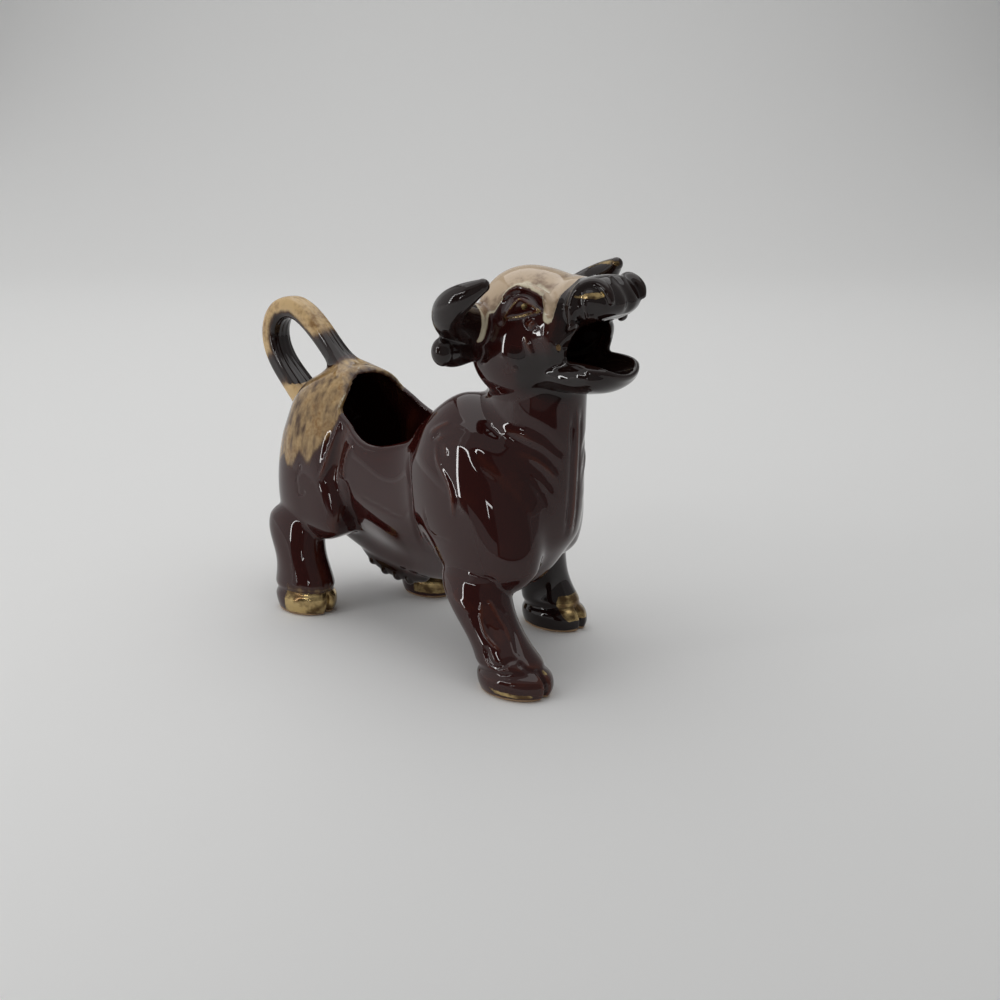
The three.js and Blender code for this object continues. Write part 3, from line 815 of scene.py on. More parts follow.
@dataclass
class Bull:
    """The whole jug as one distance field, from which every piece is cut."""

    THINNED_BY = 1.8  # mm by which the wall is thinner at the rim of the opening
    THINNED_OVER = (0.5, 9.0)  # mm from the opening over which it regains its thickness
    RIM_END = 15.0  # mm along X, behind which the opening's rim lies

    soft: Fillets = Fillets()
    rim: Bead = Bead(0.15, 0.5, 0.6, 0.8)
    lip: Bead = Bead(1.0, 0.55, 1.0, 1.0)
    body: Body = field(default_factory=Body)
    head: Head = field(default_factory=Head)
    tail: Tail = field(default_factory=Tail)
    horns: Horns = field(default_factory=Horns)
    ridge: Ridge = field(default_factory=Ridge)
    front_right: Leg = field(default_factory=lambda: Leg([
        (0, 58.5, 37, 8, -23.4), (2, 59.5, 36.2, 8.7, -23.4), (6, 58.8, 35.5, 8.6, -23.3),
        (11, 53.2, 33, 7.5, -23),
        (17, 46.5, 27, 7.4, -22), (25, 41.5, 19.5, 8, -20), (34, 40, 17, 7.5, -17),
    ], facet=(
        Stroke([(38.6, 25.6, 25.2), (39.8, 25.2, 24.3), (42.7, 24.7, 20.2), (45, 24.6, 17.8),
            (47.5, 25.5, 14.6)], 0.55, -0.4, Side.RIGHT),
        Stroke([(38, 26.4, 25), (38.4, 27.2, 23), (39.4, 28.2, 20), (41.2, 28.9, 17.2),
            (43.8, 29.2, 14.8), (47, 28.6, 12.9)], 0.55, -0.4, Side.RIGHT),
        Stroke([(40.4, 26.8, 21.8), (43.2, 26.9, 18),
            (45.4, 27.3, 15.4)], 1.9, 0.5, Side.RIGHT, taper=0.3),
        Stroke([(27.4, 27.8, 25.6), (30.5, 28.1, 23.6),
            (36.4, 28.2, 21)], 0.9, -0.25, Side.RIGHT, taper=0.3),
        Stroke([(41.5, 23.8, 23.3), (44.1, 22.6, 20.3), (46.9, 23.1, 16.8), (49.7, 24.9, 13.5),
            (51.7, 26, 11.3)], 0.7, 0.55, Side.RIGHT),
        Stroke([(42.6, 29.6, 13.6), (44, 30.4, 11), (47, 30.8, 9), (49.3, 30, 9.6), (50.6, 28.2, 10.8),
            (52, 27.2, 10.6)], 0.75, 0.7, Side.RIGHT),
        Stroke([(52, 27.2, 10.6), (54.9, 26.4, 8.6), (56.5, 22.8, 7.6)], 0.8, 0.5, Side.RIGHT),
    )))
    front_left: Leg = field(default_factory=lambda: Leg([
        (0, 33.5, 13, 7.6, 23.4), (2, 34.3, 12.2, 8.2, 23.4), (6, 33.4, 12, 8.1, 23.3),
        (11, 30.2, 11.5, 7.1, 23),
        (17, 28, 11, 6.8, 22), (25, 28.4, 10.5, 7.2, 20), (34, 30, 10, 7.2, 17),
    ]))
    hind_right: Leg = field(default_factory=lambda: Leg([
        (0, -35.5, -54.5, 7.6, -18.7), (2, -34.4, -55.4, 8.2, -18.7), (6, -34, -56.6, 8.2, -18.6),
        (11, -35, -56.6, 7.4, -18.4), (17, -38, -57.2, 7, -18), (25, -39.5, -61.3, 7, -17),
        (34, -40, -60, 6.5, -15),
    ]))
    hind_left: Leg = field(default_factory=lambda: Leg([
        (0, -17.5, -35.5, 7.2, 18.7), (2, -16.4, -36.4, 7.8, 18.7), (6, -16, -37.4, 7.8, 18.6),
        (11, -18, -39.5, 7.4, 18.4), (17, -22, -43.5, 7, 18), (25, -28, -50, 7, 17),
        (34, -31, -53, 6.5, 15),
    ]))

    def solid(self, points: Array) -> Array:
        """Signed distance to the clay of the whole jug, below zero inside it.

        The outer form is the soft union of all forms. The hollow is the body, neck and skull
        drawn in by the wall, with the opening and the mouth. One bead follows the opening's rim,
        and one the lower lip and the corners of the mouth.

        Args:
            points: N by 3 places in the maker's frame.

        Returns:
            N distances.
        """
        body, head, soft = self.body, self.head, self.soft
        core = body.core(points)
        outer = body.folded(core, points)
        for leg in (self.front_right, self.front_left, self.hind_right, self.hind_left):
            outer = blend(outer, leg.distance(points), soft.leg)
        outer = blend(outer, self.tail.rod.distance(points), soft.tail)
        outer = blend(outer, self.ridge.distance(points), soft.ridge)
        face = head.form(points)
        outer = blend(outer, face, soft.head)
        outer = blend(outer, self.horns.horn.distance(points), soft.horn)
        outer = blend(outer, self.horns.ear.distance(points), soft.ear)
        outer = sink(outer, points, self.horns.creases)
        mouth, opening = head.mouth(points), body.open_back(points)
        wall = body.wall - self.THINNED_BY * (1.0 - ramp(opening, *self.THINNED_OVER))
        skin = np.maximum(core, outer)
        hollow = np.minimum(skin + wall, head.skull.distance(points) + body.wall)
        hollow = np.minimum(np.minimum(hollow, mouth), opening)
        clay = cut(outer, hollow, soft.hollow)
        x, _, z = points.T
        rimmed = x < self.RIM_END
        lipped = (x > 50) & ((z < 99) | (x < 62))
        clay = blend(clay, np.where(rimmed, self.rim.distance(opening, skin), FAR), self.rim.soft)
        clay = blend(clay, np.where(lipped, self.lip.distance(mouth, face), FAR), self.lip.soft)
        return cut(clay, z, soft.sole)

    def normal(self, points: Array, reach: float = 0.22) -> tuple[Array, Array]:
        """Distance and slope at points, by differences over reach.

        Args:
            points: N by 3 places.
            reach: Half the length of each difference.

        Returns:
            N distances and N by 3 slopes.
        """
        slope = np.empty_like(points)
        for axis in range(3):
            push = np.zeros(3)
            push[axis] = reach
            slope[:, axis] = (self.solid(points + push) - self.solid(points - push)) / (2 * reach)
        return self.solid(points), slope

    def convexity(self, points: Array, reach: float = 1.1) -> Array:
        """How strongly the skin bulges: the sum of the second differences of the distance."""
        total = -6.0 * self.solid(points)
        for axis in range(3):
            push = np.zeros(3)
            push[axis] = reach
            total += self.solid(points + push) + self.solid(points - push)
        return total / reach**2


@dataclass(frozen=True)
class Zone:
    """A box that a glaze covers, without a side where a limit is endless.

    Attributes:
        x: Its limits forward, in mm.
        y: Its limits to the left, of the distance from the middle where it is folded.
        z: Its limits up.
        folded: Whether it lies alike on both sides.
    """

    x: tuple[float, float] = (-math.inf, math.inf)
    y: tuple[float, float] = (-math.inf, math.inf)
    z: tuple[float, float] = (-math.inf, math.inf)
    folded: bool = False

    def outside(self, points: Array) -> Array:
        """How far points lie outside the box, below zero inside it."""
        low, high = np.array([self.x, self.y, self.z]).T
        points = both_sides(points) if self.folded else points
        return np.maximum(low - points, points - high).max(axis=1)


@dataclass
class Glazing:
    """Where the glazes, the gilding, the painted shade, the painted highlights and the painted reflection
    lie, as distances outside each of them in mm.
    """

    dark_zones: Sequence[Zone] = (
        Zone(x=(51, math.inf), z=(84, math.inf)),  # muzzle
        Zone(x=(40, math.inf), z=(80, 93)),  # jaw
        Zone(y=(19, math.inf), z=(88, math.inf), folded=True),  # horns and ears
        # The far foreleg and belly ridge zones are painted shade.
        Zone(x=(2, math.inf), y=(8, math.inf), z=(-math.inf, 24)),  # far foreleg
        Zone(y=(-math.inf, 6), z=(-math.inf, 15), folded=True),  # belly ridge
    )
    dark_tail: Zone = Zone(x=(-math.inf, -43), y=(-math.inf, 8), z=(66, math.inf), folded=True)
    honey_strip: Zone = Zone(x=(-45.5, -34), y=(-math.inf, 0), z=(7.75, 8.85))
    gold_hind_right: Zone = Zone(x=(-46, -30), y=(-math.inf, 0), z=(0.9, 7.3))
    gold_hind_left: Zone = Zone(x=(-26, -14), y=(10, math.inf), z=(2.0, 7.8))
    gold_front_left: Zone = Zone(x=(28.5, 40), y=(15, 27), z=(3.8, 11.0))
    loop_box: tuple[Point, Point] = ((-82.0, -7.0, 68.0), (-44.0, 7.0, 97.0))
    loop_middle: Point = (-60.5, 0.0, 78.5)
    honey_edge: Sequence[tuple[float, float]] = (
        (-80, 44), (-66, 47), (-60, 44), (-56, 46), (-52.7, 49.2), (-50.1, 45.9), (-47.8, 45.4),
        (-46.1, 48.8),
        (-44.8, 52.1), (-42.7, 49.9), (-40.7, 48.2), (-38.9, 50.3), (-36.7, 53.2), (-34.2, 56.7),
        (-32.1, 60.7),
        (-31, 63), (-29.5, 70), (-29, 90), (-28, 200),
    )
    cream_edge: Sequence[tuple[float, float]] = (
        (14, 104), (22, 103), (27, 103.5), (30, 102.5), (32.5, 103.5), (35, 108.5), (38, 110.6),
        (42.3, 110.4), (45.6, 109.4),
        (47.6, 108.6), (48.4, 103.7), (49.6, 101.6), (50.9, 102.3), (51.5, 107), (51.6, 110.5), (52, 119),
    )
    drips: Sequence[Stroke] = (
        Stroke([(28.6, 13.5, 107, 2.4), (29.8, 16.4, 104.4, 1.9), (31.4, 18.2, 101.5, 1.1),
            (32.1, 18.9, 98.6, 1.1), (31.2, 19.1, 96, 1.3)]),
    )
    gilding: Sequence[Stroke] = (
        Stroke([(35.8, 15, 101.8, 0.18), (38, 14.4, 105, 0.2), (40.2, 13.6, 107.6, 0.24)]),
        Stroke([(40.2, 13.6, 107.6, 0.24), (43.8, 13.5, 106.5, 0.2), (47.4, 13.2, 105, 0.28)]),
        Stroke([(35.8, 15, 101.8, 0.18), (41.6, 14.8, 103.2, 0.22), (47.4, 13.2, 105, 0.28)]),
        Stroke([(42, 14.4, 106, 0.85), (42.5, 14.4, 105.8, 0.85)]),
        Stroke([(58, 11.6, 109.6, 0.3), (60, 11, 109.9, 0.55), (62.3, 9.8, 110.2, 0.8),
            (64.2, 8.4, 110.4, 0.8)]),
        Stroke([(52.2, 11.6, 96.2, 0.5), (53, 12, 95, 0.6)]),
        Stroke([(57.4, 11.5, 93.2, 0.2), (60.5, 11, 92.2, 0.45), (65, 9.5, 91.4, 0.4)]),
        Stroke([(31.1, 28.6, 110.7, 0.5), (34.6, 28.8, 111.8, 0.7), (39.7, 27.4, 113, 0.7),
            (43, 27, 113, 0.5)], side=Side.LEFT),
        Stroke([(44, 31, 3.2, 0.45), (48, 31.8, 2.4, 0.6), (53, 31, 2.0, 0.6),
            (57.4, 28, 2.0, 0.5)], side=Side.RIGHT),
        Stroke([(56.8, 21.8, 7.2, 0.6), (57.3, 21.6, 6.4, 0.6)], side=Side.RIGHT),
    )
    # Redder strokes along the haunch groove, the shoulder crease and the leg facets: a painted reflection
    # of the dark front of the room.
    painted_reflection_red: Sequence[Stroke] = (
        Stroke([(-26.8, 16, 61, 1.5), (-28.6, 16.8, 56, 2), (-30, 17.2, 50, 2),
            (-31, 17.3, 45.5, 1.5)], flat=True),
        Stroke([(31.5, 19.4, 63, 1.2), (36, 17.9, 58.5, 1.8), (40.2, 16.2, 54.5, 1.6),
            (44.3, 13.3, 47.6, 1.2)]),
        Stroke([(39.6, 26.4, 22.6, 1.4), (43.2, 26.9, 18, 1.7), (46, 27, 14.6, 1.4)], side=Side.RIGHT),
        Stroke([(-40, 18.5, 24, 1.6), (-37.6, 19, 16, 1.8), (-36, 19.5, 9, 1.3)], side=Side.RIGHT),
        Stroke([(29.6, 28, 25.4, 0.8), (36.2, 27.6, 22.4, 0.9)], side=Side.RIGHT),
    )
    # Pale marks: pale glaze at the drip's end and at the cream's edge by the eye, and painted highlights
    # along the opening's rim, on the pupil and on the cheek.
    pale: Sequence[Stroke] = (
        # Painted highlight along the opening's rim.
        Stroke([(-36.4, 1, 77, 0.3), (-33.6, 6, 75.2, 0.45), (-31.8, 9.5, 73, 0.45),
            (-31.8, 13.2, 68.7, 0.45), (-32.1, 14.5, 66.2, 0.3)]),
        # Painted highlight on the pupil.
        Stroke([(42.1, 14.4, 106.1, 0.5), (42.5, 14.4, 105.9, 0.5)]),
        Stroke([(31.4, 18.4, 101, 0.3), (32, 18.9, 98.3, 0.7), (31.2, 19.1, 96, 0.9)]),
        # Painted highlight on the cheek.
        Stroke([(43.2, 14.6, 97.6, 0.35), (44.3, 14.2, 95.7, 0.5), (45.5, 13.3, 92.1, 0.3)]),
        Stroke([(48.6, 13, 104.5, 0.4), (49.6, 13, 102.6, 0.7), (50.4, 12.8, 103, 0.4)]),
    )

    def honey(self, p: Array, core: Array, tail: Rod) -> Array:
        """Distance outside the honey glaze on the rump, the rim, the tail and one hoof.

        Args:
            p: N by 3 places.
            core: Their distances to the plain body, by which the inside is left out.
            tail: The tail, whose side towards its own loop is left out.

        Returns:
            N distances.
        """
        xs, zs = np.array(self.honey_edge, float).T
        rump = np.interp(p[:, 0], xs, zs) - p[:, 2]
        front_band = Mound((-48.4, 0, 80.6), (6.6, 14, 5.4), False).distance(p)
        rear_band = Mound((-71.0, 0, 72.6), (5.6, 14, 4.6), False).distance(p)
        rump = np.maximum(rump, -np.minimum(front_band, rear_band))
        low, high = np.array(self.loop_box)
        inner = only_near(
            p, low, high, 0.0, -5.0, lambda q: (tail.towards(q, self.loop_middle) - 1.5) * 2.0)
        rump = np.maximum(rump, np.where(core > 0.8, inner, -5.0))
        return np.minimum(np.maximum(rump, -core - 1.3), self.honey_strip.outside(p))

    def cream(self, p: Array) -> Array:
        """Distance outside the cream glaze on the poll, with its drips."""
        xs, zs = np.array(self.cream_edge, float).T
        poll = np.interp(p[:, 0], xs, zs) - p[:, 2]
        poll = np.maximum(poll, np.abs(p[:, 1]) - 17.5)
        return np.minimum(poll, self.least(self.drips, p))

    def near_black_and_shade(self, p: Array) -> Array:
        """Distance outside the near black marks: glaze on the muzzle, jaw, horns, ears and tail, and
        painted shade on the far foreleg and the belly ridge.
        """
        tail = np.where(self.dark_tail.outside(p) < 0, -3.0, 5.0)
        return np.minimum.reduce([zone.outside(p) for zone in self.dark_zones] + [tail])

    def least(self, strokes: Iterable[Stroke], p: Array) -> Array:
        """Distance outside the nearest of some brush strokes."""
        return np.minimum.reduce([stroke.mark(p) for stroke in strokes])

    def gilt(self, p: Array) -> Array:
        """Distance outside the gold on the eyes, nostrils, lips, left horn and hooves."""
        slanted = np.abs(p[:, 2] - 8.4 + 1.1 * (p[:, 0] - 30.5)) - 2.4
        return np.minimum.reduce([
            self.least(self.gilding, p), self.gold_hind_right.outside(p), self.gold_hind_left.outside(p),
            np.maximum(slanted, self.gold_front_left.outside(p)),
        ])


class Piece(Enum):
    """The clay parts, by the names of their nodes."""

    BODY = "body_shell"
    HEAD = "head_shell"
    FRONT_RIGHT = "front_right_leg"
    FRONT_LEFT = "front_left_leg"
    HIND_RIGHT = "hind_right_leg"
    HIND_LEFT = "hind_left_leg"
    TAIL = "tail_handle"
    LEFT_HORN = "left_horn"
    LEFT_EAR = "left_ear"
    RIGHT_HORN = "right_horn"
    RIGHT_EAR = "right_ear"
    RIDGE = "belly_ridge"


@dataclass(frozen=True)
class Joint:
    """A flat joint at which one clay part is luted to another.

    Attributes:
        at: A point of the joint's plane.
        way: The direction from the larger part to the smaller one.
        low: Lowest corner of the box in which the plane cuts.
        high: Highest corner of that box.
    """

    at: Point
    way: Point
    low: Point
    high: Point

    def trim(self, bm: bmesh.types.BMesh, keep_far: bool) -> None:
        """Cuts a mesh at the plane, keeps one part and closes it with a flat face.

        Args:
            bm: The mesh, in the maker's frame.
            keep_far: Whether to keep the smaller part.
        """
        low, high, at = Vector(self.low), Vector(self.high), Vector(self.at)
        way = Vector(self.way).normalized()

        def boxed(point: Vector) -> bool:
            """Whether a point lies in the joint's box."""
            return all(low[i] < point[i] < high[i] for i in range(3))

        def past(point: Vector) -> float:
            """How far a point lies past the plane, in mm."""
            return (point - at).dot(way)

        def crossed(face: bmesh.types.BMFace) -> bool:
            """Whether the plane passes through a face."""
            return min(past(v.co) for v in face.verts) <= 0 <= max(past(v.co) for v in face.verts)

        near = [f for f in bm.faces if boxed(f.calc_center_median()) and crossed(f)]
        parts = list({e for f in near for e in f.edges}) + list({v for f in near for v in f.verts}) + near
        bmesh.ops.bisect_plane(bm, geom=parts, dist=1e-5, plane_co=at, plane_no=way)
        far = {f for f in bm.faces if boxed(f.calc_center_median()) and past(f.calc_center_median()) > 0}
        gone = [f for f in bm.faces if (f in far) != keep_far]
        bmesh.ops.delete(bm, geom=gone, context="FACES")
        edges = [
            e for e in bm.edges
            if e.is_boundary and all(abs(past(v.co)) < ON_PLANE and boxed(v.co) for v in e.verts)
        ]
        made = bmesh.ops.triangle_fill(bm, use_beauty=True, use_dissolve=False, edges=edges, normal=way)
        for face in (g for g in made["geom"] if isinstance(g, bmesh.types.BMFace)):
            if (face.normal.dot(way) > 0) == keep_far:
                face.normal_flip()
            face.material_index = CAP


Bounds = Sequence[tuple[Joint, bool]]


class Workshop:
    """Cuts each clay part out of the bull's field and writes it as a mesh."""

    BLOCK = 6  # lattice steps to a side of one block
    BAND = 0.87 * 1.7  # half the diagonal of a block, with room for distances that fall short
    COARSER = 1.6
    ROUNDS = (True, True, True, False)  # whether each round of settling evens the net out
    LONGEST_PUSH = 0.5  # mm that a vertex moves to the skin in one round
    LEAST_SLOPE = 0.2  # least square of the slope that a push is divided by

    def __init__(self, bull: Bull) -> None:
        """Keeps the bull whose parts are made."""
        self.bull = bull

    def lattice(self, low: Array, high: Array, step: float) -> Array:
        """Distances at the nodes of a lattice, worked out only in blocks near the skin.

        Args:
            low: Lowest corner.
            high: Highest corner.
            step: Lattice spacing.

        Returns:
            A three-way array of distances.
        """
        block = self.BLOCK
        blocks = np.ceil((high - low) / step / block).astype(int)
        middles = [low[i] + (np.arange(blocks[i]) + 0.5) * block * step for i in range(3)]
        rough_points = np.stack(np.meshgrid(*middles, indexing="ij"), -1).reshape(-1, 3)
        rough = self.values(rough_points).reshape(blocks)
        near = np.abs(rough) < self.BAND * block * step
        values = np.repeat(np.repeat(np.repeat(rough, block, 0), block, 1), block, 2)
        active = np.repeat(np.repeat(np.repeat(near, block, 0), block, 1), block, 2)
        index = np.argwhere(active)
        values[active] = self.values(low + index * step)
        return values

    def values(self, points: Array) -> Array:
        """Distances of many points, in chunks."""
        return in_chunks(self.bull.solid, points, FIELD_CHUNK)

    @staticmethod
    def net(values: Array, low: Array, step: float) -> tuple[Array, Array]:
        """A surface net: one vertex in each lattice cell that the skin crosses.

        Each vertex starts at the mean of the crossings on its cell's edges, and each crossed
        lattice edge gives a four-sided face among the four cells round it.

        Args:
            values: Distances at the lattice nodes.
            low: Place of the first node.
            step: Lattice spacing.

        Returns:
            Vertices and four-sided faces.
        """
        inside = values < 0
        corners = [(i, j, k) for i in (0, 1) for j in (0, 1) for k in (0, 1)]
        size = np.array(values.shape) - 1

        def shifted(a: Array, c: tuple[int, int, int]) -> Array:
            """The values at one corner of every cell."""
            return a[c[0]:c[0] + size[0], c[1]:c[1] + size[1], c[2]:c[2] + size[2]]

        count = sum(shifted(inside, c).astype(np.int8) for c in corners)
        mixed = (count > 0) & (count < 8)
        cell = np.argwhere(mixed)
        ids = np.full(size, -1)
        ids[mixed] = np.arange(len(cell))
        at = {c: values[cell[:, 0] + c[0], cell[:, 1] + c[1], cell[:, 2] + c[2]] for c in corners}
        total, hits = np.zeros((len(cell), 3)), np.zeros(len(cell))
        for a in corners:
            for axis in range(3):
                if a[axis]:
                    continue
                b = tuple(1 if i == axis else a[i] for i in range(3))
                crossed = (at[a] < 0) != (at[b] < 0)
                share = np.where(crossed, at[a] / np.where(crossed, at[a] - at[b], 1.0), 0.0)
                place = np.tile(np.array(a, float), (len(cell), 1))
                place[:, axis] += share
                total += place * crossed[:, None]
                hits += crossed
        vertices = low + (cell + total / hits[:, None]) * step
        faces = []
        for axis in range(3):
            one, two = (axis + 1) % 3, (axis + 2) % 3
            trimmed = [slice(1, -1)] * 3
            trimmed[axis] = slice(0, -1)
            ahead = list(trimmed)
            ahead[axis] = slice(1, None)
            here, there = inside[tuple(trimmed)], inside[tuple(ahead)]
            for leaving in (True, False):
                edge = np.argwhere(here & ~there if leaving else there & ~here)
                edge[:, one] += 1
                edge[:, two] += 1
                ring = []
                for d1, d2 in ((1, 1), (0, 1), (0, 0), (1, 0)):
                    c = edge.copy()
                    c[:, one] -= d1
                    c[:, two] -= d2
                    ring.append(ids[c[:, 0], c[:, 1], c[:, 2]])
                quad = np.stack(ring if leaving else ring[::-1], 1)
                faces.append(quad[(quad >= 0).all(1)])
        return vertices, np.concatenate(faces)

    def settle(self, vertices: Array, faces: Array) -> Array:
        """Evens the net out and lays its vertices on the skin.

        Each round moves a vertex half way to the mean of its neighbours and back along the
        slope by distance / slope.

        Args:
            vertices: Start places.
            faces: Four-sided faces.

        Returns:
            The settled places.
        """
        edge = np.concatenate([faces[:, [i, (i + 1) % 4]] for i in range(4)])
        degree = np.bincount(edge.ravel(), minlength=len(vertices)).astype(float)
        for smooth in self.ROUNDS:
            if smooth:
                mean = np.stack([
                    (np.bincount(edge[:, 0], vertices[edge[:, 1], i], len(vertices))
                     + np.bincount(edge[:, 1], vertices[edge[:, 0], i], len(vertices))) / degree
                    for i in range(3)
                ], 1)
                vertices = vertices + 0.5 * (mean - vertices)
            value, slope = self.slopes(vertices)
            push = np.clip(value, -self.LONGEST_PUSH, self.LONGEST_PUSH)
            vertices = vertices - slope * (push / np.maximum((slope**2).sum(1), self.LEAST_SLOPE))[:, None]
        return vertices

    def slopes(self, points: Array) -> tuple[Array, Array]:
        """Distances and slopes of many points, in chunks."""
        parts = [self.bull.normal(points[i:i + FIELD_CHUNK]) for i in range(0, len(points), FIELD_CHUNK)]
        return np.concatenate([p[0] for p in parts]), np.concatenate([p[1] for p in parts])

    def make(
        self, piece: Piece, low: Point, high: Point, step: float, joints: Bounds, glazing: Glazing,
    ) -> bpy.types.Object:
        """Makes one clay part.

        Args:
            piece: Which part.
            low: Lowest corner of its lattice.
            high: Highest corner of its lattice.
            step: Lattice spacing.
            joints: The joints that bound it, and whether it is the smaller part of each.
            glazing: Where the glazes and the painted shade, highlights and reflection lie.

        Returns:
            The part's object, at the origin, with its place in its mesh.
        """
        start, end = np.asarray(low, float), np.asarray(high, float)
        vertices, faces = self.net(self.lattice(start, end, step), start, step)
        vertices = self.settle(vertices, faces)
        mesh = bpy.data.meshes.new(piece.value)
        mesh.from_pydata(vertices.tolist(), [], faces.tolist())
        bm = bmesh.new()
        bm.from_mesh(mesh)
        for joint, smaller in joints:
            joint.trim(bm, smaller)
        loose = [v for v in bm.verts if not v.link_faces]
        bmesh.ops.delete(bm, geom=loose, context="VERTS")
        bm.to_mesh(mesh)
        bm.free()
        self.finish_mesh(mesh, glazing)
        made = bpy.data.objects.new(piece.value + "_clay", mesh)
        bpy.context.scene.collection.objects.link(made)
        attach(made, "root")
        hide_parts(piece.value)
        log.info("%s: %d faces at %.2f mm", piece.value, len(mesh.polygons), step)
        return made

    def finish_mesh(self, mesh: bpy.types.Mesh, glazing: Glazing) -> None:
        """Gives a part its glaze marks, its painted shade, highlight and reflection marks, and the skin's
        own normals, and moves it to the row frame.

        Args:
            mesh: The part's mesh in the maker's frame.
            glazing: Where the glazes and the painted shade, highlights and reflection lie.
        """
        count = len(mesh.vertices)
        places = np.empty(count * 3)
        mesh.vertices.foreach_get("co", places)
        places = places.reshape(-1, 3)
        _, slope = self.slopes(places)
        normals = slope / np.maximum(np.linalg.norm(slope, axis=1), 1e-9)[:, None]
        bulge = in_chunks(self.bull.convexity, places, FIELD_CHUNK)
        bulge *= ramp(np.abs(self.bull.body.open_back(places)), 1.0, 3.5)
        marks = {
            "honey": glazing.honey(places, self.bull.body.core(places), self.bull.tail.rod),
            "cream": glazing.cream(places),
            "gilt": glazing.gilt(places),
            "near_black_and_shade": glazing.near_black_and_shade(places),
            "bulge": np.clip(bulge, -1.0, 1.0),
            "painted_reflection_red": glazing.least(glazing.painted_reflection_red, places),
            "pale": glazing.least(glazing.pale, places),
        }
        for name, values in marks.items():
            mesh.attributes.new(name, "FLOAT", "POINT").data.foreach_set("value", values.astype(np.float32))
        corners = np.empty(len(mesh.loops), np.int64)
        mesh.loops.foreach_get("vertex_index", corners)
        capped = np.empty(len(mesh.polygons), np.int64)
        mesh.polygons.foreach_get("material_index", capped)
        sizes = np.empty(len(mesh.polygons), np.int64)
        mesh.polygons.foreach_get("loop_total", sizes)
        flat = np.empty(len(mesh.polygons) * 3)
        mesh.polygons.foreach_get("normal", flat)
        on_cap = np.repeat(capped == CAP, sizes)
        at_corner = normals[corners]
        at_corner[on_cap] = np.repeat(flat.reshape(-1, 3), sizes, axis=0)[on_cap]
        mesh.polygons.foreach_set("material_index", np.zeros(len(mesh.polygons), np.int64))
        mesh.vertices.foreach_set("co", to_row(places).ravel())
        mesh.polygons.foreach_set("use_smooth", np.ones(len(mesh.polygons), bool))
        mesh.update()
        mesh.normals_split_custom_set(at_corner.tolist())


class Wire:
    """A shader socket that can be reckoned with as a number."""

    def __init__(self, bench: "Bench", socket: bpy.types.NodeSocket) -> None:
        """Keeps the socket and the bench that makes its nodes."""
        self.bench, self.socket = bench, socket

    def _math(self, operation: str, first: "Wire | float", second: "Wire | float") -> "Wire":
        """One Math node."""
        return self.bench.node("ShaderNodeMath", {"operation": operation}, {0: first, 1: second})

    def __add__(self, other: "Wire | float") -> "Wire":
        """Sum."""
        return self._math("ADD", self, other)

    __radd__ = __add__

    def __sub__(self, other: "Wire | float") -> "Wire":
        """Difference."""
        return self._math("SUBTRACT", self, other)

    def __rsub__(self, other: float) -> "Wire":
        """Difference, from a number."""
        return self._math("SUBTRACT", other, self)

    def __mul__(self, other: "Wire | float") -> "Wire":
        """Product."""
        return self._math("MULTIPLY", self, other)

    __rmul__ = __mul__

    def fade(self, low: float, high: float) -> "Wire":
        """0 at low and 1 at high, smoothly between them."""
        settings = {"interpolation_type": "SMOOTHSTEP"}
        if low < high:
            return self.bench.node("ShaderNodeMapRange", settings, {0: self, 1: low, 2: high})
        return self.bench.node("ShaderNodeMapRange", settings, {0: self, 1: high, 2: low, 3: 1.0, 4: 0.0})

    def most(self, other: "Wire | float") -> "Wire":
        """The greater of both."""
        return self._math("MAXIMUM", self, other)


class Bench:
    """Makes the nodes of one material."""

    def __init__(self, name: str) -> None:
        """Starts an empty material."""
        self.material = bpy.data.materials.new(name)
        self.material.use_nodes = True
        self.tree = self.material.node_tree
        self.tree.nodes.clear()
        self.place = self.node("ShaderNodeTexCoord", {}, {}, "Object")

    def node(self, kind: str, settings: dict, inputs: dict, output: "int | str" = 0) -> Wire:
        """One node of any type.

        Args:
            kind: The node's type.
            settings: Its own settings, set first.
            inputs: Values or wires for its sockets.
            output: Which output to hand back.

        Returns:
            The chosen output.
        """
        made = self.tree.nodes.new(kind)
        for key, value in settings.items():
            setattr(made, key, value)
        for key, value in inputs.items():
            if isinstance(value, Wire):
                self.tree.links.new(value.socket, made.inputs[key])
            elif isinstance(value, tuple) and len(value) == 3 and made.inputs[key].type == "RGBA":
                made.inputs[key].default_value = (*value, 1.0)
            else:
                made.inputs[key].default_value = value
        return Wire(self, made.outputs[output])

    def mark(self, name: str) -> Wire:
        """A mark stored in the mesh."""
        return self.node("ShaderNodeAttribute", {"attribute_name": name}, {}, "Fac")

    def noise(self, scale: float, detail: float, stretch: Point = (1.0, 1.0, 1.0)) -> Wire:
        """Noise with scale features to a metre, stretched along the axes."""
        place = self.node("ShaderNodeMapping", {}, {0: self.place, 3: stretch})
        return self.node("ShaderNodeTexNoise", {}, {
            "Vector": place, "Scale": scale, "Detail": detail, "Roughness": 0.5,
        })

    def mix(self, share: "Wire | float", first: "Wire | Point", second: "Wire | Point") -> Wire:
        """Mixes two colours."""
        return self.node("ShaderNodeMix", {"data_type": "RGBA"}, {0: share, 6: first, 7: second}, 2)

    def output(self, shader: Wire) -> bpy.types.Material:
        """Ends the material in a shader."""
        end = self.tree.nodes.new("ShaderNodeOutputMaterial")
        self.tree.links.new(shader.socket, end.inputs["Surface"])
        return self.material


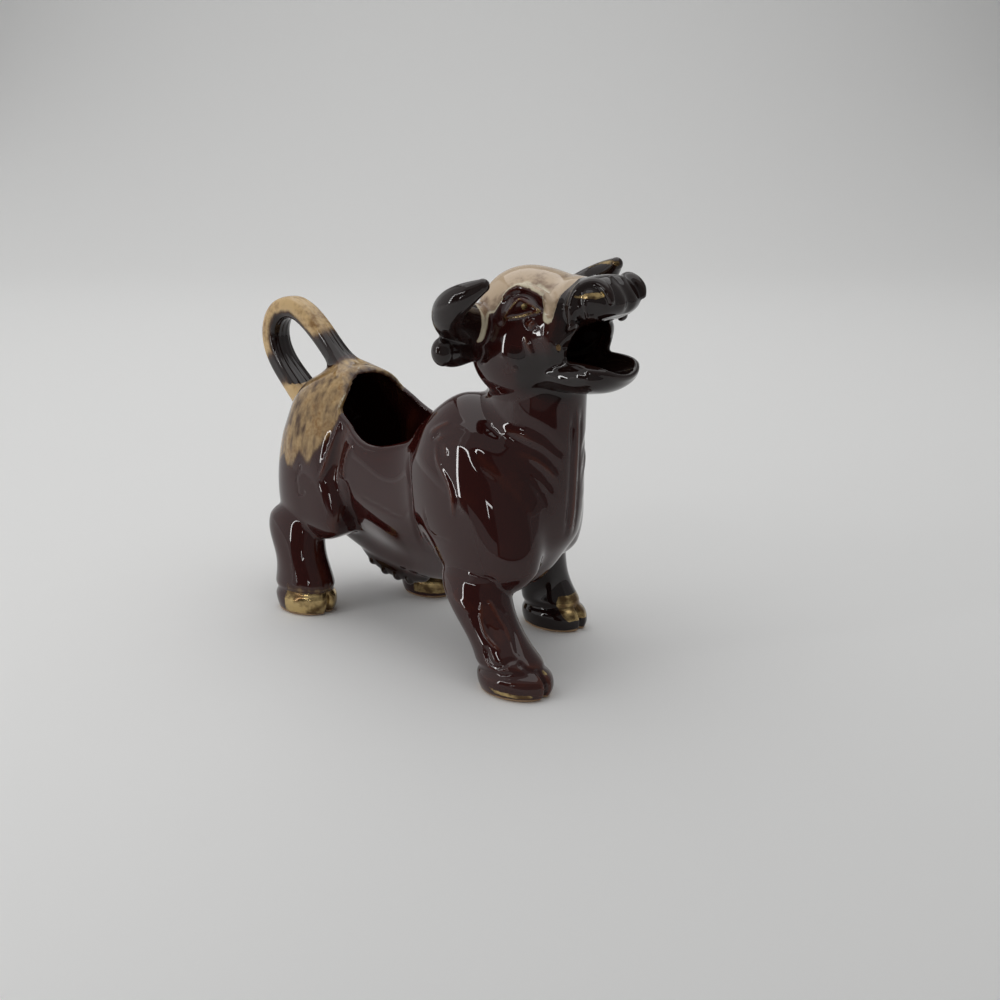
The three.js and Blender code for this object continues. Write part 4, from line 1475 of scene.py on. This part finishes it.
@dataclass(frozen=True)
class Glaze:
    """Treacle glaze over tan clay, with honey and cream glazes and gilding laid over it, and with painted
    shade, painted highlights and a painted reflection.
    """

    name: str = "treacle_glaze_over_clay"
    pool: Point = (0.033, 0.0062, 0.0052)
    # Red of thin glaze on bulges; also the colour of the painted reflection.
    thin_glaze_and_reflection: Point = (0.070, 0.014, 0.006)
    # Near black of the dark glaze; also the colour of the painted shade on the far foreleg and the belly
    # ridge.
    black: Point = (0.0080, 0.0050, 0.0042)
    honey_rim: Point = (0.070, 0.030, 0.012)
    honey_mid: Point = (0.25, 0.125, 0.034)
    honey_light: Point = (0.64, 0.44, 0.21)
    cream_brown: Point = (0.20, 0.115, 0.062)
    cream_light: Point = (0.60, 0.455, 0.31)
    # Pale of the cream glaze's edge and drip ends; also the colour of the painted highlights.
    cream_pale: Point = (0.75, 0.68, 0.50)
    gold: Point = (0.60, 0.44, 0.20)
    gold_worn: Point = (0.13, 0.075, 0.030)
    clay: Point = (0.46, 0.31, 0.19)

    def material(self) -> bpy.types.Material:
        """The one glaze material that every clay part wears.

        Returns:
            The finished material.
        """
        b = Bench(self.name)
        bulge, honey, cream, gilt, near_black_and_shade, painted_reflection_red, pale = (
            b.mark(n) for n in ("bulge", "honey", "cream", "gilt", "near_black_and_shade", "painted_reflection_red", "pale"))
        cloud, patch, fine = b.noise(110, 4), b.noise(230, 3), b.noise(900, 3)
        streak = b.noise(420, 3, (1.0, 1.0, 0.22))
        dark = b.mix((bulge * 1.0 + (cloud - 0.5) * 1.2).fade(0.1, 1.1), self.pool, self.thin_glaze_and_reflection)
        # Painted reflection: redder glaze along the haunch groove, the shoulder crease and the leg facets.
        dark = b.mix((painted_reflection_red + (streak - 0.5) * 2.5).fade(0.6, -1.2) * 0.4, dark, self.thin_glaze_and_reflection)
        # Near black glaze over the dark zones, and painted shade on the far foreleg and the belly ridge.
        dark = b.mix((near_black_and_shade + (cloud - 0.5) * 9.0).fade(2.0, -2.0) * 0.85, dark, self.black)
        edge = honey + (streak - 0.5) * 4.0 + (cloud - 0.5) * 3.0
        mottle = (cloud * 0.55 + streak * 0.35 + patch * 0.35 + fine * 0.25).fade(0.56, 0.82)
        honey_colour = b.mix(mottle, self.honey_mid, self.honey_light)
        honey_colour = b.mix(edge.fade(0.0, -2.6), self.honey_rim, honey_colour)
        colour = b.mix(edge.fade(1.4, -1.2), dark, honey_colour)
        edge = cream + (streak - 0.5) * 1.6 + (cloud - 0.5) * 1.4
        mottle = (patch * 0.6 + cloud * 0.6 + fine * 0.25 + edge * -0.03).fade(0.58, 0.90)
        cream_colour = b.mix(mottle, self.cream_brown, self.cream_light)
        line = edge.fade(0.1, -0.3) * edge.fade(-1.1, -0.5)
        # Pale over the cream's edge line and the pale marks: pale glaze, and painted highlights on the rim,
        # pupil and cheek.
        cream_colour = b.mix((line * 0.75).most(pale.fade(0.2, -0.3)), cream_colour, self.cream_pale)
        colour = b.mix(edge.fade(0.2, -0.2).most(pale.fade(0.2, -0.3)), colour, cream_colour)
        in_gilt = (gilt + (fine - 0.5) * 0.7 + (patch - 0.5) * 0.8).fade(0.12, -0.12)
        colour = b.mix(in_gilt, colour, b.mix(patch.fade(0.36, 0.6), self.gold_worn, self.gold))
        height = b.node("ShaderNodeSeparateXYZ", {}, {0: b.place}, 2)
        foot = (height * 1000.0 + (cloud - 0.5) * 1.6).fade(1.1, 0.6)
        colour = b.mix(foot, colour, self.clay)
        bump = b.node("ShaderNodeBump", {}, {
            "Strength": 0.10, "Distance": 0.0006, "Height": cloud * 0.6 + fine * 0.03,
        })
        shader = b.node("ShaderNodeBsdfPrincipled", {}, {
            "Base Color": colour,
            "Metallic": in_gilt * (1.0 - foot) * 0.9,
            "Roughness": 0.5 - in_gilt * 0.3,
            "IOR": 1.5,
            "Specular IOR Level": 0.0,
            "Coat Weight": (1.0 - foot) * (1.0 - in_gilt * 0.7),
            "Coat Roughness": 0.03,
            "Coat IOR": 1.5,
            "Normal": bump,
        })
        return b.output(shader)


@dataclass
class Studio:
    """A pale sweep, a tent of soft panels round the jug and the camera, and the camera itself.

    Attributes:
        sweep_colour: Colour of the paper.
        eye: The camera's place in the row frame, in metres.
        turn: How far it is turned from the jug's side, in degrees.
        pitch: How far it looks down, in degrees.
        lens: Its focal length, in mm.
        air_level: Brightness of the world.
        panels: Rows of name, place, size, level and aim, as panel takes them.
    """

    sweep_colour: Point = (0.88, 0.88, 0.872)
    eye: Point = (0.3085, -0.3151, 0.1706)
    turn: float = 41.7
    pitch: float = 16.61
    lens: float = 54.0
    air_level: float = 0.07
    panels: Sequence[tuple[str, Point, tuple[float, float], float, Point]] = (
        ("left_wall", (-0.50, 0.40, 0.37), (1.22, 0.76), 0.54, (-0.007, 0.482, 0.37)),
        ("right_wall", (0.50, 0.40, 0.37), (1.22, 0.76), 0.22, (0.007, 0.482, 0.37)),
        ("ceiling", (0.0, 0.34, 0.74), (0.90, 1.26), 1.16, (0.0, 0.341, 0.0)),
        ("front_top", (0.0, -0.29, 0.52), (0.84, 0.48), 0.30, (0.0, 0.0, 0.52)),
        ("left_end", (-0.42, -0.25, 0.53), (0.10, 0.46), 0.50, (0.0, -0.25, 0.53)),
        ("right_end", (0.42, -0.25, 0.38), (0.10, 0.76), 0.20, (0.0, -0.25, 0.38)),
        ("front_room", (0.15, -0.31, 0.14), (0.54, 0.28), 0.12, (0.15, 0.0, 0.14)),
        ("front_sill", (-0.265, -0.278, 0.015), (0.29, 0.03), 0.36, (-0.265, 0.0, 0.015)),
        ("strip_left", (-0.41, -0.21, 0.15), (0.016, 0.24), 16.0, (0.0, 0.0, 0.1)),
        ("strip_top", (-0.315, -0.28, 0.27), (0.19, 0.012), 16.0, (0.0, 0.0, 0.1)),
        ("glint_side", (-0.17, -0.30, 0.075), (0.006, 0.03), 12.0, (0.0, 0.0, 0.06)),
        ("glint_top", (-0.148, -0.30, 0.092), (0.045, 0.006), 12.0, (0.0, 0.0, 0.06)),
        ("back_wash", (0.0, 0.70, 0.66), (1.4, 0.20), 0.35, (0.0, 1.35, 0.05)),
    )

    def sweep(self) -> None:
        """The floor and backdrop: one profile of a floor, a quarter round and a wall, carried sideways."""
        angle = math.radians(self.turn)
        right = np.array([math.cos(angle), math.sin(angle), 0.0])
        away = np.array([-math.sin(angle), math.cos(angle), 0.0])
        bend = np.linspace(0.0, math.pi / 2, 24)
        out = np.concatenate([[-0.27, 0.1, 0.4], 0.75 + 0.6 * np.sin(bend), [1.35]])
        up = np.concatenate([[0.0, 0.0, 0.0], 0.6 - 0.6 * np.cos(bend), [2.2]])
        across = np.linspace(-2.0, 2.0, 9)
        upright = np.array([0.0, 0.0, 1.0])
        grid = out[:, None, None] * away + across[None, :, None] * right + up[:, None, None] * upright
        rows, columns = grid.shape[:2]
        i = np.arange((rows - 1) * columns).reshape(rows - 1, columns)[:, :-1].ravel()
        faces = np.stack([i, i + 1, i + 1 + columns, i + columns], 1)
        mesh = bpy.data.meshes.new("sweep")
        mesh.from_pydata(grid.reshape(-1, 3).tolist(), [], faces.tolist())
        mesh.polygons.foreach_set("use_smooth", np.ones(len(faces), bool))
        made = bpy.data.objects.new("sweep", mesh)
        bpy.context.scene.collection.objects.link(made)
        bench = Bench("sweep_paper")
        shader = bench.node("ShaderNodeBsdfPrincipled", {}, {
            "Base Color": self.sweep_colour, "Roughness": 0.9, "Specular IOR Level": 0.1,
        })
        mesh.materials.append(bench.output(shader))

    def panel(self, name: str, at: Point, size: tuple[float, float], level: float, aim: Point) -> None:
        """A soft rectangular lamp of a given brightness.

        Args:
            name: Its name.
            at: Its middle, as right of, away from and above the jug to the camera.
            size: Its width and height.
            level: Its brightness, where 1 is white.
            aim: The point that it faces, given in the same way.
        """
        lamp = bpy.data.lights.new(name, "AREA")
        lamp.shape, lamp.size, lamp.size_y = "RECTANGLE", size[0], size[1]
        lamp.energy = level * math.pi * size[0] * size[1]
        made = bpy.data.objects.new(name, lamp)
        made.location = self.place(*at)
        made.rotation_mode = "QUATERNION"
        facing = Vector(self.place(*aim)) - Vector(self.place(*at))
        made.rotation_quaternion = facing.to_track_quat("-Z", "Y")
        bpy.context.scene.collection.objects.link(made)

    def place(self, right: float, away: float, up: float) -> Point:
        """A point given by how far it lies to the camera's right, away from it, and up."""
        angle = math.radians(self.turn)
        return (
            right * math.cos(angle) - away * math.sin(angle),
            right * math.sin(angle) + away * math.cos(angle),
            up,
        )

    def light(self) -> None:
        """The world and the panels."""
        world = bpy.data.worlds.new("studio_air")
        world.use_nodes = True
        air = world.node_tree.nodes["Background"].inputs
        air["Color"].default_value = (1.0, 1.0, 1.0, 1.0)
        air["Strength"].default_value = self.air_level
        bpy.context.scene.world = world
        for row in self.panels:
            self.panel(*row)

    def camera(self) -> None:
        """The camera at the photograph's own place."""
        data = bpy.data.cameras.new("camera")
        data.lens, data.sensor_width, data.clip_start, data.clip_end = self.lens, 36.0, 0.01, 20.0
        made = bpy.data.objects.new("camera", data)
        made.location = self.eye
        made.rotation_euler = (math.radians(90.0 - self.pitch), 0.0, math.radians(self.turn))
        bpy.context.scene.collection.objects.link(made)
        bpy.context.scene.camera = made


LEG_TOP = 20.0  # mm, height of the joint between a leg and the body

NECK = Joint((0, 0, 78), (0, 0, 1), (5, -45, 60), (80, 45, 125))
TAIL_ROOT = Joint((-45.5, 0, 78), (-11.5, 0, 23.5), (-95, -12, 60), (-40, 12, 105))
RIDGE_ROOT = Joint((0, 0, 13.3), (0, 0, -1), (-46, -6, 0), (0, 6, 18))
LEGS = {
    Piece.FRONT_RIGHT: Joint((0, 0, LEG_TOP), (0, 0, -1), (10, -40, -2), (66, -10.5, 30)),
    Piece.FRONT_LEFT: Joint((0, 0, LEG_TOP), (0, 0, -1), (5, 10.5, -2), (50, 40, 30)),
    Piece.HIND_RIGHT: Joint((0, 0, LEG_TOP), (0, 0, -1), (-70, -35, -2), (-28, -8.5, 30)),
    Piece.HIND_LEFT: Joint((0, 0, LEG_TOP), (0, 0, -1), (-60, 8.5, -2), (-10, 35, 30)),
}


def side_joints(sign: int) -> tuple[Joint, Joint]:
    """The joint of a horn and ear to the head, and the one between the two."""
    edge = 17.3
    low = (12, min(edge * sign, 45 * sign) - 1.0, 84)
    high = (50, max(edge * sign, 45 * sign) + 1.0, 120)
    root = Joint((0, edge * sign, 0), (0, sign, 0), low, high)
    between = Joint((25, 16 * sign, 95.4), (0, -0.07 * sign, 1), (0, -50, 80), (60, 50, 125))
    return root, between


def build_bull() -> None:
    """Makes and dresses every clay part."""
    shop, glazing = Workshop(Bull()), Glazing()
    glaze = Glaze().material()
    right_root, right_between = side_joints(-1)
    left_root, left_between = side_joints(1)
    made: list[tuple[bpy.types.Object, str]] = []

    def part(piece: Piece, low: Point, high: Point, step: float, joints: Bounds, slot: str) -> None:
        """Makes one part and keeps it with a slot name."""
        made.append((shop.make(piece, low, high, step, joints, glazing), slot))

    part(Piece.BODY, (-72, -36, 8), (60, 36, 84), 0.73,
         [(joint, False) for joint in (NECK, TAIL_ROOT, RIDGE_ROOT, *LEGS.values())], "treacle_glaze")
    part(Piece.HEAD, (10, -21, 74), (74, 21, 120), 0.46,
         [(NECK, True), (right_root, False), (left_root, False)], "dark_glaze")
    for leg, low, high in (
        (Piece.FRONT_RIGHT, (10, -38, -2), (66, -10, 24)),
        (Piece.FRONT_LEFT, (5, 10, -2), (48, 38, 24)),
        (Piece.HIND_RIGHT, (-66, -32, -2), (-28, -8, 24)),
        (Piece.HIND_LEFT, (-54, 8, -2), (-10, 32, 24)),
    ):
        part(leg, low, high, 0.5, [(LEGS[leg], True)], "treacle_glaze")
    part(Piece.TAIL, (-85, -10, 60), (-38, 10, 100), 0.42, [(TAIL_ROOT, True)], "honey_glaze")
    part(Piece.RIDGE, (-46, -5.5, 6), (0, 5.5, 17), 0.4, [(RIDGE_ROOT, True)], "dark_glaze")
    for sign, horn, ear, root, between in (
        (1, Piece.LEFT_HORN, Piece.LEFT_EAR, left_root, left_between),
        (-1, Piece.RIGHT_HORN, Piece.RIGHT_EAR, right_root, right_between),
    ):
        low = (16, min(15.5 * sign, 37 * sign), 84)
        high = (50, max(15.5 * sign, 37 * sign), 119)
        part(horn, low, high, 0.42, [(root, True), (between, True)], "dark_glaze")
        part(ear, low, high, 0.42, [(root, True), (between, False)], "dark_glaze")
    for piece, slot in made:
        piece.data.materials.append(glaze)


def main() -> None:
    """Builds the studio and the bull, in order."""
    logging.basicConfig(level=logging.INFO, format="%(message)s")
    bpy.context.scene.view_settings.view_transform = "Standard"
    studio = Studio()
    studio.sweep()
    studio.light()
    studio.camera()
    log.info("studio ready")
    build_bull()


if __name__ == "__main__":
    main()
